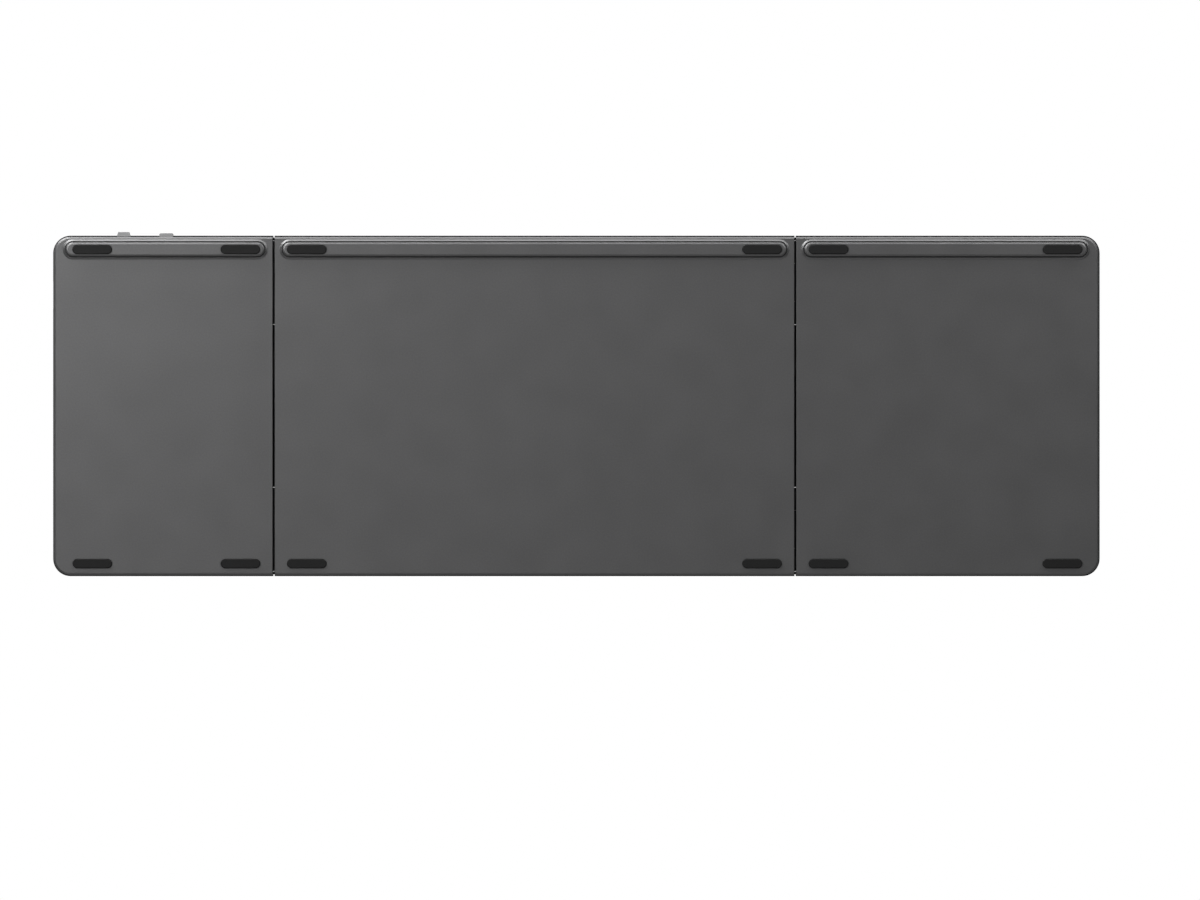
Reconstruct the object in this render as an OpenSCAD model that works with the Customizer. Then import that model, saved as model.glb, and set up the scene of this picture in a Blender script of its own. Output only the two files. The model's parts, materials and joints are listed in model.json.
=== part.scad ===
// Tri-fold pocket keyboard: a middle panel and two wings that fold over it.
// It lies open with the keys up, +Z up, +Y to the rear edge, in millimetres.
// The origin is below the middle of the whole keyboard, on the plane under the rear feet.

/* [Panels] */
// Distance between the two hinge axes
hinge_spacing = 150.2; // [142:0.1:165]
// Hinge axis to the outer edge of the left wing
left_reach = 86.9; // [82:0.1:94]
// Gap left between the outer edges of the wings when both are folded
meet_gap = 0.4; // [0.3:0.1:1.5]
// Front edge to rear edge
body_depth = 97.6; // [94:0.1:104]
// Gap between the covers at a seam
seam_gap = 0.55; // [0.45:0.05:0.9]
// Gap between the top frames at a seam
frame_gap = 0.35; // [0.25:0.05:0.4]
// How far inside its hinge axis the middle of a seam lies, which makes room for the folded wings
seam_inset = 0.4; // [0.2:0.05:0.45]
// How far the top frame shows past the cover along the outer edges
rim_show = 0.4; // [0.1:0.05:0.5]
// Radius of the outer corners
corner_r = 5; // [3:0.1:6]
// Chamfer round the outer edges
edge_chamfer = 0.5; // [0.2:0.05:0.5]
// Chamfer along the edges at the seams
seam_chamfer = 0.15; // [0.05:0.05:0.3]

/* [Heights] */
// How far a foot stands out of its recess
foot_proud = 0.5; // [0.3:0.1:1]
// Depth of the recess that a foot is glued into
foot_sunk = 0.3; // [0.2:0.05:0.4]
// How far the rail stands below the cover
rail_drop = 1.3; // [1.1:0.1:2]
// Thickness of the cover's plate
plate_t = 0.8; // [0.7:0.05:1.2]
// Thickness of the cover's walls
wall_t = 1; // [0.8:0.05:1.2]
// Clear height between the cover's plate and the top frame
cavity_h = 2.2; // [2.1:0.05:2.8]
// Thickness of the top frame
frame_t = 1.2; // [1.1:0.05:1.6]
// How far the key tops stand above the top frame
key_stand = 1.3; // [1.3:0.05:1.6]
// Key travel
key_travel = 1.2; // [0.8:0.05:1.2]
// Height of the hinge axis above the key tops
fold_clear = 0.3; // [0.2:0.05:0.6]

/* [Rail and feet] */
// Rear edge to the middle of the rail
rail_inset = 4; // [3.7:0.1:4.6]
// Width of the plinth that the rail stands on
plinth_w = 5.8; // [5.6:0.1:6.4]
// Height of the plinth
plinth_h = 0.45; // [0.3:0.05:0.6]
// Width of the plinth's sloping side
plinth_slope = 0.5; // [0.4:0.05:0.55]
// Width of the rail
rail_w = 4.1; // [4.1:0.1:4.6]
// Radius along the rail's edges
rail_edge_r = 0.66; // [0.4:0.02:0.7]
// Width of the groove between plinth and rail
groove_w = 0.3; // [0.2:0.02:0.34]
// Depth of that groove
groove_deep = 0.24; // [0.1:0.02:0.26]
// Outer edge of a wing to the end of its rail
rail_outer_end = 2.9; // [2.5:0.1:6]
// Middle of a seam to the end of a rail
rail_seam_end = 1.7; // [1.5:0.1:4]
// Length of a foot
foot_l = 11.3; // [9:0.1:13]
// Width of a foot
foot_w = 2.6; // [2.5:0.05:2.8]
// Middle of a seam to the middle of the nearest foot
foot_from_seam = 9.5; // [9:0.1:10.5]
// Outer edge of the left wing to the middle of the nearest foot
left_foot_from_end = 10.8; // [10:0.1:13]
// Outer edge of the right wing to the middle of the nearest foot
right_foot_from_end = 11.4; // [10:0.1:13]
// Front edge to the middle of the front feet
front_foot_inset = 3.65; // [3.55:0.05:3.9]

/* [Keys] */
// Hinge axis to the key area
seam_border = 2; // [1.9:0.1:2.6]
// Outer edge of the left wing to its key area
side_border = 3.7; // [3.2:0.1:6]
// Front edge to the key area
front_border = 5; // [4.9:0.1:7]
// Rear edge to the key area
rear_border = 7.6; // [7.4:0.1:10]
// Width of the frame's webs between key openings
web_w = 1.4; // [1.2:0.05:1.8]
// Gap round a keycap in its opening
key_clear = 0.25; // [0.2:0.05:0.35]
// Corner radius of a keycap
key_corner_r = 1.1; // [0.8:0.05:1.6]
// How far a keycap's sides lean in on each side
key_draft = 0.35; // [0.2:0.05:0.6]
// Chamfer round a keycap's top
key_top_chamfer = 0.22; // [0.1:0.02:0.3]
// Depth of the dish across a keycap
key_dish = 0.16; // [0.1:0.02:0.25]
// Thickness of a keycap's walls and top
cap_t = 0.9; // [0.8:0.05:1]

/* [Hinges] */
// Radius of a hinge pin
pin_r = 0.6; // [0.4:0.05:0.65]
// Gap between a barrel and the top frame
barrel_clear = 0.2; // [0.15:0.05:0.3]
// Thickness of the leaves
leaf_t = 0.6; // [0.5:0.05:0.6]
// Length of a hinge unit
hinge_l = 24; // [18:0.5:28]
// Share of that length which the wing's knuckle takes
wing_share = 0.45; // [0.35:0.01:0.55]
// Gap between knuckles
knuckle_gap = 0.1; // [0.08:0.01:0.2]
// Front or rear edge to the end of a hinge unit
hinge_inset = 1.4; // [1.4:0.1:2]
// Hinge axis to the end of a leaf's foot
leaf_length = 14.5; // [12.5:0.1:15.5]
// Front or rear edge to the ends of the barrels
barrel_inset = 0.5; // [0.4:0.05:0.8]

/* [Touchpad and battery] */
// Depth of the touchpad's opening, front to rear
pad_depth = 58; // [48:0.5:60]
// Margin between the touchpad's opening and the seam or the outer edge
pad_side = 6.5; // [6:0.1:12]
// Front edge to the touchpad's opening
pad_front = 8; // [7:0.1:9]
// Gap round the touchpad's plate
pad_clear = 0.15; // [0.1:0.05:0.3]
// Thickness of the battery
battery_t = 1.4; // [1:0.05:1.5]

/* [Rear edge and charging socket] */
// Outer edge of the right wing to the middle of the power switch
switch_from_end = 20.3; // [18:0.1:24]
// Outer edge of the right wing to the middle of the connect button
button_from_end = 32.5; // [32:0.1:38]
// Width of the power switch's knob and of the connect button
knob_w = 4; // [3.4:0.1:4.4]
// How far the power switch's knob stands out of the frame's outline
switch_proud = 1; // [0.8:0.05:1.6]
// How far the connect button stands out of the frame's outline
button_proud = 0.65; // [0.55:0.05:0.8]
// Travel of the power switch
switch_travel = 2; // [1:0.1:2.2]
// Travel of the connect button
button_travel = 0.4; // [0.3:0.05:0.5]
// Width of the charging socket
socket_w = 7.4; // [6.5:0.1:8.4]
// Height of the charging socket
socket_h = 2.5; // [2.4:0.05:2.6]
// Rear edge to the middle of the charging socket
socket_from_rear = 17; // [15:0.1:20]

/* [Hidden] */
$fn = 64;
OVER = 0.5;
FIT = 0.05;

// heights, from the plane under the rear feet upward
rail_z = foot_proud;
plate_z = rail_z + rail_drop;
floor_z = plate_z + plate_t;
frame_z = floor_z + cavity_h;
top_z = frame_z + frame_t;
key_z = top_z + key_stand;
axis_z = key_z + fold_clear;

// places along X and Y
right_reach = hinge_spacing - left_reach - meet_gap;
middle_x = (left_reach - right_reach) / 2;
left_axis_x = middle_x - hinge_spacing / 2;
right_axis_x = middle_x + hinge_spacing / 2;
centre_y = -switch_proud / 2;
half_d = body_depth / 2;
cover_half_d = half_d - rim_show;
inner_half_d = cover_half_d - wall_t;
rail_y = half_d - rail_inset;
front_foot_y = front_foot_inset - half_d;

// sheets under the keys, from the cover's floor upward
sheet_gap = 0.02;
base_t = 0.3;
membrane_t = 0.2;
silicone_t = 0.2;
base_top_z = floor_z + base_t;
membrane_top_z = base_top_z + membrane_t;
sheet_top_z = membrane_top_z + silicone_t;

// a keycap and what lifts it
cap_bottom_z = top_z - frame_t / 2;
cap_ceiling_z = key_z - cap_t;
lift_z = top_z - 0.5;
dome_r = 2.2;
dome_top_r = 1.3;
dome_wall = 0.4;
link_t = 0.45;
link_bar = 0.9;
link_depth = 8.8;
outer_link_w = 9.8;
link_side_gap = 0.2;
inner_link_w = outer_link_w - 2 * (link_bar + link_side_gap);
link_rise = lift_z - sheet_top_z - link_t - 2 * FIT;
link_tilt = asin(link_rise / link_depth);

// hinge units
barrel_r = axis_z - top_z - barrel_clear;
pin_fit = 0.02;
pin_play = 0.05;
flange_out = barrel_r - FIT;
flange_in = flange_out - leaf_t;
flange_top_z = top_z;
leaf_z = floor_z + 0.9;
wing_knuckle_l = hinge_l * wing_share;
end_knuckle_l = (hinge_l - wing_knuckle_l) / 2 - knuckle_gap;
hinge_y = half_d - hinge_inset - hinge_l / 2;
hinge_relief = 0.25;
notch_u = max(flange_out + hinge_relief, seam_inset + seam_gap / 2 + wall_t + FIT);
lip_u = leaf_length + 1;
leaf_foot_margin = 1.6;

// screws under the feet
screw_r = 0.7;
screw_head_r = 1.2;
screw_head_h = 0.7;
thread_gap = 0.03;
screw_clear = 0.1;
boss_r = 1.7;
screw_seat_z = plate_z + foot_sunk + screw_head_h;
screw_top_z = frame_z + frame_t * 0.7;

// pieces of the right wing
pad_u = pad_side;
pad_end = right_reach - pad_side;
pad_y0 = pad_front - half_d;
pad_y1 = pad_y0 + pad_depth;
pad_board_t = 0.6;
pad_ledge = 1.2;
pad_sunk = 0.1;
board_t = 0.6;
board_z = floor_z + 0.3;
board_u0 = leaf_length + 2;
board_u1 = right_reach - 6.2;
board_y0 = pad_y1 + pad_ledge + 1.1;
board_y1 = inner_half_d - 2;
switch_u = right_reach - switch_from_end;
button_u = right_reach - button_from_end;
socket_y = half_d - socket_from_rear;
socket_depth = 5.6;
socket_t = 0.3;
socket_fit = 0.15;
stem_w = 1.4;
stem_h = 1.2;
knob_h = 1.8;
flange_t = 0.5;
knob_z = floor_z + cavity_h / 2;
indicator_r = 0.5;
indicator_pitch = 4;

// ribbons across the seams
ribbon_w = 8;
ribbon_t = 0.15;
ribbon_y = 12;
ribbon_slot = 0.3;
ribbon_run = 8;
ribbon_tail_w = 3;
channel_deep = 0.25;
ribbon_cross_z = frame_z - 0.4;
ribbon_turn_u = seam_border - 0.3;

// the key rows from the rear edge to the front, outer key first
LEFT_ROWS = [
  ["escape", "digit_1", "digit_2", "digit_3", "digit_4"],
  ["tab", "q", "w", "e", "r"],
  ["caps", "a", "s", "d", "f"],
  ["left_shift", "z", "x", "c", "v"],
  ["function", "left_control", "system", "left_alt", "left_space"]
];
MIDDLE_ROWS = [
  ["digit_5", "digit_6", "digit_7", "digit_8", "digit_9", "digit_0", "minus", "equals", "backspace"],
  ["t", "y", "u", "i", "o", "p", "open_bracket", "close_bracket", "backslash"],
  ["g", "h", "j", "k", "l", "semicolon", "quote", "enter"],
  ["b", "n", "m", "comma", "period", "slash", "right_shift", "up", "delete"],
  ["middle_space", "right_alt", "left", "down", "right"]
];
left_units = 5;
middle_units = 9;
pitch_y = (body_depth - front_border - rear_border) / len(MIDDLE_ROWS);
left_pitch = (left_reach - side_border - seam_border) / left_units;
middle_pitch = (hinge_spacing - 2 * seam_border) / middle_units;
left_keys_x = left_axis_x - left_reach + side_border;
middle_keys_x = left_axis_x + seam_border;
keys_front_y = front_border - half_d;
keys_rear_y = half_d - rear_border;

function units(key) =
  key == "middle_space" ? 4.5 : key == "enter" ? 2 : key == "right_alt" ? 1.5 : 1;
function column(row, i) = i == 0 ? 0 : column(row, i - 1) + units(row[i - 1]);

// each key as [name, middle x, middle y, units, pitch]
function placed(rows, x, pitch) = [
  for (r = [0 : len(rows) - 1]) for (i = [0 : len(rows[r]) - 1]) [
    rows[r][i],
    x + (column(rows[r], i) + units(rows[r][i]) / 2) * pitch,
    centre_y + keys_rear_y - (r + 0.5) * pitch_y,
    units(rows[r][i]),
    pitch
  ]
];
LEFT_KEYS = placed(LEFT_ROWS, left_keys_x, left_pitch);
MIDDLE_KEYS = placed(MIDDLE_ROWS, middle_keys_x, middle_pitch);

// letters and spaces are nodes of their own, the others share three
function own_node(key) = len(key) == 1 || key == "left_space" || key == "middle_space";
LEFT_OWN = [for (k = LEFT_KEYS) if (own_node(k[0])) k];
MIDDLE_OWN = [for (k = MIDDLE_KEYS) if (own_node(k[0])) k];
LEFT_SIDE = [for (k = LEFT_KEYS) if (!own_node(k[0])) k];
MIDDLE_NUMBERS = [for (i = [0 : len(MIDDLE_ROWS[0]) - 1]) MIDDLE_KEYS[i]];
MIDDLE_SIDE = [
  for (i = [len(MIDDLE_ROWS[0]) : len(MIDDLE_KEYS) - 1])
    if (!own_node(MIDDLE_KEYS[i][0])) MIDDLE_KEYS[i]
];
OWN_KEYS = concat(LEFT_OWN, MIDDLE_OWN);

// A wing is drawn with its hinge axis along Y at u = 0, reaching towards +X.
module at_right() { translate([right_axis_x, centre_y, 0]) children(); }
module at_left() { translate([left_axis_x, centre_y, 0]) mirror([1, 0, 0]) children(); }
module at_middle() { translate([middle_x, centre_y, 0]) children(); }
module both_ends() { children(); mirror([0, 1, 0]) children(); }
module both_sides() { children(); mirror([1, 0, 0]) children(); }

// Places seen from each panel: screw and foot places as [u, y]
wing_foot_u = foot_from_seam - seam_inset;
middle_foot_u = foot_from_seam + seam_inset;
function wing_feet(outer_u) = [for (u = [wing_foot_u, outer_u]) for (y = [rail_y, front_foot_y]) [u, y]];
LEFT_FEET = wing_feet(left_reach - left_foot_from_end);
RIGHT_FEET = wing_feet(right_reach - right_foot_from_end);
middle_foot_x = hinge_spacing / 2 - middle_foot_u;
MIDDLE_FEET = [for (x = [-middle_foot_x, middle_foot_x]) for (y = [rail_y, front_foot_y]) [x, y]];

// Shared shapes

module box(a, b) { translate(a) cube(b - a); }

// outline of a wing, with its two outer corners rounded
module wing_outline(u0, u1, v, r) {
  translate([u0, -v]) square([u1 - r - u0, 2 * v]);
  translate([u1 - 2 * r, r - v]) square([2 * r, 2 * (v - r)]);
  for (s = [-1, 1]) translate([u1 - r, s * (v - r)]) circle(r);
}

// section of a chamfer cut: x points outward from the edge, y away from the face
function chamfer_cut(c) = [[-c - OVER, -OVER], [OVER, -OVER], [OVER, c + OVER]];

// cuts a chamfer along the outer edges of a wing's lower face, at height z
module wing_chamfers(u0, u1, v, r, c, z) {
  translate([0, 0, z]) {
    both_ends() {
      translate([u0 - OVER, v, 0]) rotate([90, 0, 90])
        linear_extrude(u1 - r - u0 + OVER) polygon(chamfer_cut(c));
      translate([u1 - r, v - r, 0])
        rotate_extrude(angle = 90) polygon([for (p = chamfer_cut(c)) p + [r, 0]]);
    }
    translate([u1, v - r, 0]) rotate([90, 0, 0])
      linear_extrude(2 * (v - r)) polygon(chamfer_cut(c));
  }
}

// cuts a chamfer along the edge at a seam, where outward is -X
module seam_chamfers(u0, v, c, z) {
  translate([u0, v + OVER, z]) rotate([90, 0, 0])
    mirror([1, 0, 0]) linear_extrude(2 * (v + OVER)) polygon(chamfer_cut(c));
}

// cuts a chamfer along the front and rear edges of the middle panel
module straight_chamfers(w, v, c, z) {
  both_ends() translate([-w / 2 - OVER, v, z]) rotate([90, 0, 90])
    linear_extrude(w + 2 * OVER) polygon(chamfer_cut(c));
}

// turns a shape whose chamfers are cut from below into one cut from above
module from_above(z) { translate([0, 0, z]) mirror([0, 0, 1]) children(); }

// a bar along X with round ends, made from a half section in (distance from the middle line, height)
module round_bar(l, half_w) {
  run = l - 2 * half_w;
  translate([-run / 2, 0, 0]) rotate([90, 0, 90]) linear_extrude(run) {
    children();
    mirror([1, 0]) children();
  }
  both_sides() translate([run / 2, 0, 0]) rotate([0, 0, -90])
    rotate_extrude(angle = 180) children();
}

// Bottom covers

module plinth_section() {
  polygon([
    [0, plate_z + OVER], [plinth_w / 2, plate_z + OVER], [plinth_w / 2, plate_z],
    [plinth_w / 2 - plinth_slope, plate_z - plinth_h], [0, plate_z - plinth_h]
  ]);
}

module rail_section() {
  base = plate_z - plinth_h + groove_deep;
  edge = rail_w / 2;
  translate([0, rail_z]) square([edge - rail_edge_r, base - rail_z + FIT]);
  translate([0, rail_z + rail_edge_r]) square([edge, base - rail_z - rail_edge_r + FIT]);
  translate([edge - rail_edge_r, rail_z + rail_edge_r]) circle(rail_edge_r);
}

// a crease, deepest at the rail's side
module groove_section() {
  face_z = plate_z - plinth_h;
  u0 = rail_w / 2;
  u1 = u0 + groove_w;
  polygon([
    [u0 - OVER, face_z - OVER], [u1, face_z - OVER], [u1, face_z],
    [u0, face_z + groove_deep], [u0 - OVER, face_z + groove_deep]
  ]);
}

module rail_solid(l) {
  difference() {
    round_bar(l, plinth_w / 2) plinth_section();
    round_bar(l - plinth_w + rail_w + 2 * groove_w, rail_w / 2 + groove_w) groove_section();
  }
  round_bar(l - plinth_w + rail_w, rail_w / 2) rail_section();
}

// the pocket that keeps the rail hollow between its two feet
module rail_pocket(x0, x1) {
  clear = boss_r + FIT;
  w = rail_w - 2 * plate_t;
  box([x0 + clear, rail_y - w / 2, rail_z + plate_t], [x1 - clear, rail_y + w / 2, floor_z + OVER]);
}

// the post that a screw goes through, from the floor up to height z
module cover_boss(p, z) {
  root_z = plate_z + plate_t / 2;
  translate([p[0], p[1], root_z]) cylinder(r = boss_r, h = z - root_z);
}

// what is cut out of a cover for a foot and the screw above it
module foot_cut(p) {
  bottom = p[1] > 0 ? rail_z : plate_z;
  translate([p[0], p[1], 0]) {
    translate([0, 0, bottom - OVER]) linear_extrude(foot_sunk + OVER) foot_outline(FIT);
    translate([0, 0, bottom]) cylinder(r = screw_head_r + screw_clear, h = screw_seat_z - bottom);
    translate([0, 0, bottom]) cylinder(r = screw_r + screw_clear, h = top_z - bottom);
  }
}

module foot_outline(gap) {
  r = foot_w / 2 + gap;
  run = foot_l - foot_w;
  square([run, 2 * r], center = true);
  for (s = [-1, 1]) translate([s * run / 2, 0]) circle(r);
}

// the room for a hinge unit in the seam wall of a cover or a frame
module hinge_notch(z0, z1) {
  both_ends() translate([-OVER, hinge_y - hinge_l / 2 - hinge_relief, z0])
    cube([notch_u + OVER, hinge_l + 2 * hinge_relief, z1 - z0]);
}

// the slot where the ribbon crosses the seam wall of a cover
module ribbon_notch() {
  translate([-OVER, ribbon_y - ribbon_w / 2 - ribbon_slot, ribbon_cross_z - ribbon_slot])
    cube([notch_u + OVER, ribbon_w + 2 * ribbon_slot, frame_z]);
}

// the shallow channel where the ribbon runs under the base plate
module ribbon_channel() {
  translate([ribbon_turn_u - ribbon_slot, ribbon_y - ribbon_w / 2 - ribbon_slot, floor_z - channel_deep])
    cube([ribbon_run - ribbon_turn_u + 2 * ribbon_slot, ribbon_w + 2 * ribbon_slot, cavity_h]);
}

module wing_cover(reach, feet) {
  u0 = seam_gap / 2 - seam_inset;
  u1 = reach - rim_show;
  r = corner_r - rim_show;
  rail_u0 = rail_seam_end - seam_inset;
  difference() {
    union() {
      difference() {
        translate([0, 0, plate_z]) linear_extrude(frame_z - plate_z)
          wing_outline(u0, u1, cover_half_d, r);
        wing_chamfers(u0, u1, cover_half_d, r, edge_chamfer, plate_z);
        seam_chamfers(u0, cover_half_d, seam_chamfer, plate_z);
        translate([0, 0, floor_z]) linear_extrude(cavity_h + OVER)
          wing_outline(u0 + wall_t, u1 - wall_t, inner_half_d, r - wall_t);
      }
      translate([(rail_u0 + reach - rail_outer_end) / 2, rail_y, 0])
        rail_solid(reach - rail_outer_end - rail_u0);
      for (p = feet) cover_boss(p, leaf_z);
    }
    rail_pocket(feet[0][0], feet[2][0]);
    for (p = feet) foot_cut(p);
    hinge_notch(leaf_z, top_z);
    ribbon_notch();
  }
}

module left_bottom_cover() {
  color("#6f6f6f") difference() {
    at_left() wing_cover(left_reach, LEFT_FEET);
    at_left() ribbon_channel();
  }
}

module right_bottom_cover() {
  color("#6f6f6f") at_right() difference() {
    wing_cover(right_reach, RIGHT_FEET);
    rear_edge_windows();
    socket_window();
  }
}

module middle_bottom_cover() {
  w = hinge_spacing - 2 * seam_inset - seam_gap;
  color("#6f6f6f") at_middle() difference() {
    union() {
      difference() {
        box([-w / 2, -cover_half_d, plate_z], [w / 2, cover_half_d, frame_z]);
        straight_chamfers(w, cover_half_d, edge_chamfer, plate_z);
        both_sides() translate([-w / 2, 0, 0]) seam_chamfers(0, cover_half_d, seam_chamfer, plate_z);
        box([wall_t - w / 2, -inner_half_d, floor_z], [w / 2 - wall_t, inner_half_d, top_z]);
      }
      translate([0, rail_y, 0]) rail_solid(hinge_spacing - 2 * (seam_inset + rail_seam_end));
      for (p = MIDDLE_FEET) cover_boss(p, leaf_z);
    }
    rail_pocket(MIDDLE_FEET[0][0], MIDDLE_FEET[2][0]);
    for (p = MIDDLE_FEET) foot_cut(p);
    both_sides() translate([-hinge_spacing / 2, 0, 0]) {
      hinge_notch(leaf_z, top_z);
      ribbon_notch();
      ribbon_channel();
    }
  }
}

// Top frames

module key_openings(keys) {
  for (k = keys) translate([k[1], k[2]])
    rounded_square(k[3] * k[4] - web_w, pitch_y - web_w, key_corner_r + key_clear);
}

module rounded_square(w, d, r) {
  square([w, d - 2 * r], center = true);
  square([w - 2 * r, d], center = true);
  for (x = [-1, 1]) for (y = [-1, 1]) translate([x * (w / 2 - r), y * (d / 2 - r)]) circle(r);
}

// the short post that a screw bites into, down to height z
module frame_boss(p, z) { translate([p[0], p[1], z]) cylinder(r = boss_r, h = frame_z + frame_t / 2 - z); }
module thread_hole(p) {
  translate([p[0], p[1], leaf_z]) cylinder(r = screw_r + thread_gap, h = screw_top_z + 2 * FIT - leaf_z);
}

// how far down the frame's post comes: onto the leaf near a seam, onto the cover's post elsewhere
module wing_frame_bosses(feet) {
  for (i = [0 : 3]) frame_boss(feet[i], i < 2 ? leaf_z + leaf_t : leaf_z);
}

// the lip that sets the frame between the front and rear walls of its cover
module frame_lip(x0, x1) {
  lip_t = 0.7;
  lip_h = 0.45;
  gap = 0.1;
  box([x0, inner_half_d - gap - lip_t, frame_z - lip_h], [x1, inner_half_d - gap, frame_z + FIT]);
}

module wing_frame(reach, feet) {
  u0 = frame_gap / 2 - seam_inset;
  difference() {
    union() {
      difference() {
        translate([0, 0, frame_z]) linear_extrude(frame_t)
          wing_outline(u0, reach, half_d, corner_r);
        from_above(top_z) {
          wing_chamfers(u0, reach, half_d, corner_r, edge_chamfer, 0);
          seam_chamfers(u0, half_d, seam_chamfer, 0);
        }
      }
      wing_frame_bosses(feet);
    }
    for (p = feet) thread_hole(p);
    hinge_notch(frame_z - OVER, top_z + OVER);
  }
}

module left_top_frame() {
  color("#303030") {
    difference() {
      at_left() wing_frame(left_reach, LEFT_FEET);
      translate([0, 0, frame_z - OVER]) linear_extrude(frame_t + 2 * OVER) key_openings(LEFT_KEYS);
    }
    at_left() both_ends() frame_lip(lip_u, left_reach - left_foot_from_end - boss_r - 1);
  }
}

module right_top_frame() {
  color("#303030") at_right() {
    difference() {
      wing_frame(right_reach, RIGHT_FEET);
      box([pad_u, pad_y0, frame_z - OVER], [pad_end, pad_y1, top_z + OVER]);
      socket_room();
      indicator_row() cylinder(r = indicator_r, h = top_z);
    }
    mirror([0, 1, 0]) frame_lip(lip_u, right_reach - right_foot_from_end - boss_r - 1);
  }
}

// a barrel on the hinge axis from y0 to y1, on a neck that stands on the frame from neck_y0 to neck_y1
module seam_barrel(y0, y1, neck_y0, neck_y1) {
  translate([0, y1, axis_z]) rotate([90, 0, 0]) cylinder(r = barrel_r, h = y1 - y0);
  box([flange_in, neck_y0, top_z - FIT], [flange_out, neck_y1, axis_z]);
}

// what closes a seam beside the hinge units: a long barrel between them and a cap beyond each
module seam_barrels() {
  inner_y = hinge_y - hinge_l / 2;
  outer_y = hinge_y + hinge_l / 2;
  end_y = half_d - barrel_inset;
  seam_barrel(knuckle_gap - inner_y, inner_y - knuckle_gap, hinge_relief - inner_y, inner_y - hinge_relief);
  both_ends() seam_barrel(outer_y + knuckle_gap, end_y, outer_y + hinge_relief, end_y);
}

module middle_top_frame() {
  w = hinge_spacing - 2 * seam_inset - frame_gap;
  color("#303030") {
    difference() {
      at_middle() difference() {
        union() {
          difference() {
            box([-w / 2, -half_d, frame_z], [w / 2, half_d, top_z]);
            from_above(top_z) {
              straight_chamfers(w, half_d, edge_chamfer, 0);
              both_sides() translate([-w / 2, 0, 0]) seam_chamfers(0, half_d, seam_chamfer, 0);
            }
          }
          for (p = MIDDLE_FEET) frame_boss(p, leaf_z + leaf_t);
        }
        for (p = MIDDLE_FEET) thread_hole(p);
        both_sides() translate([-hinge_spacing / 2, 0, 0]) hinge_notch(frame_z - OVER, top_z + OVER);
      }
      translate([0, 0, frame_z - OVER]) linear_extrude(frame_t + 2 * OVER) key_openings(MIDDLE_KEYS);
    }
    at_middle() {
      both_ends() frame_lip(lip_u - hinge_spacing / 2, hinge_spacing / 2 - lip_u);
      both_sides() translate([-hinge_spacing / 2, 0, 0]) seam_barrels();
    }
  }
}

// Windows of the right wing

// slots in the rear wall for the switch's stem and the button
module rear_edge_windows() {
  stem_slot = stem_w + switch_travel + 4 * FIT;
  box([switch_u + stem_w / 2 + 2 * FIT - stem_slot, inner_half_d - OVER, knob_z - stem_h / 2 - 2 * FIT],
      [switch_u + stem_w / 2 + 2 * FIT, half_d, knob_z + stem_h / 2 + 2 * FIT]);
  box([button_u - knob_w / 2 - 2 * FIT, inner_half_d - OVER, knob_z - stem_h / 2 - 2 * FIT],
      [button_u + knob_w / 2 + 2 * FIT, half_d, knob_z + stem_h / 2 + 2 * FIT]);
}

// the opening in the outer wall that a charging plug goes through
module socket_window() {
  box([right_reach - rim_show - wall_t - OVER, socket_y - socket_w / 2 - socket_fit, floor_z],
      [right_reach, socket_y + socket_w / 2 + socket_fit, frame_z + OVER]);
}

// the room for the socket in the frame's underside
module socket_room() {
  box([right_reach - rim_show - socket_depth - OVER, socket_y - socket_w / 2 - socket_fit, frame_z - OVER],
      [right_reach + OVER, socket_y + socket_w / 2 + socket_fit, floor_z + socket_h + socket_fit]);
}

module indicator_row() {
  for (i = [0 : 2])
    translate([board_u0 + 4 + i * indicator_pitch, board_y1 - 5, 0]) children();
}

// Feet and screws

module foot(p) {
  bottom = (p[1] > 0 ? rail_z : plate_z) - foot_proud;
  soft = 0.15;
  edge = foot_w / 2;
  translate([p[0], p[1], bottom]) round_bar(foot_l, edge)
    polygon([
      [0, 0], [edge - soft, 0], [edge, soft],
      [edge, foot_proud + foot_sunk], [0, foot_proud + foot_sunk]
    ]);
}

module screw(p) {
  translate([p[0], p[1], 0]) difference() {
    union() {
      translate([0, 0, screw_seat_z - screw_head_h]) cylinder(r = screw_head_r, h = screw_head_h);
      translate([0, 0, screw_seat_z - FIT]) cylinder(r = screw_r, h = screw_top_z - screw_seat_z + FIT);
    }
    translate([0, 0, screw_seat_z - screw_head_h - OVER])
      linear_extrude(OVER + screw_head_h * 0.6)
        for (a = [0, 90]) rotate(a) square([1.25 * screw_head_r, 0.3 * screw_head_r], center = true);
  }
}

module left_feet() { color("#161616") at_left() for (p = LEFT_FEET) foot(p); }
module right_feet() { color("#161616") at_right() for (p = RIGHT_FEET) foot(p); }
module middle_feet() { color("#161616") at_middle() for (p = MIDDLE_FEET) foot(p); }
module left_screws() { color("#9a9a9a") at_left() for (p = LEFT_FEET) screw(p); }
module right_screws() { color("#9a9a9a") at_right() for (p = RIGHT_FEET) screw(p); }
module middle_screws() { color("#9a9a9a") at_middle() for (p = MIDDLE_FEET) screw(p); }

// Hinges

module knuckle(y0, y1, bore_r) {
  difference() {
    union() {
      translate([0, y1, axis_z]) rotate([90, 0, 0]) cylinder(r = barrel_r, h = y1 - y0);
      box([flange_in, y0, flange_top_z - FIT], [flange_out, y1, axis_z - 2 * pin_play - bore_r / 2]);
    }
    translate([0, y1 + OVER, axis_z]) rotate([90, 0, 0]) cylinder(r = bore_r, h = y1 - y0 + 2 * OVER);
  }
}

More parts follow.
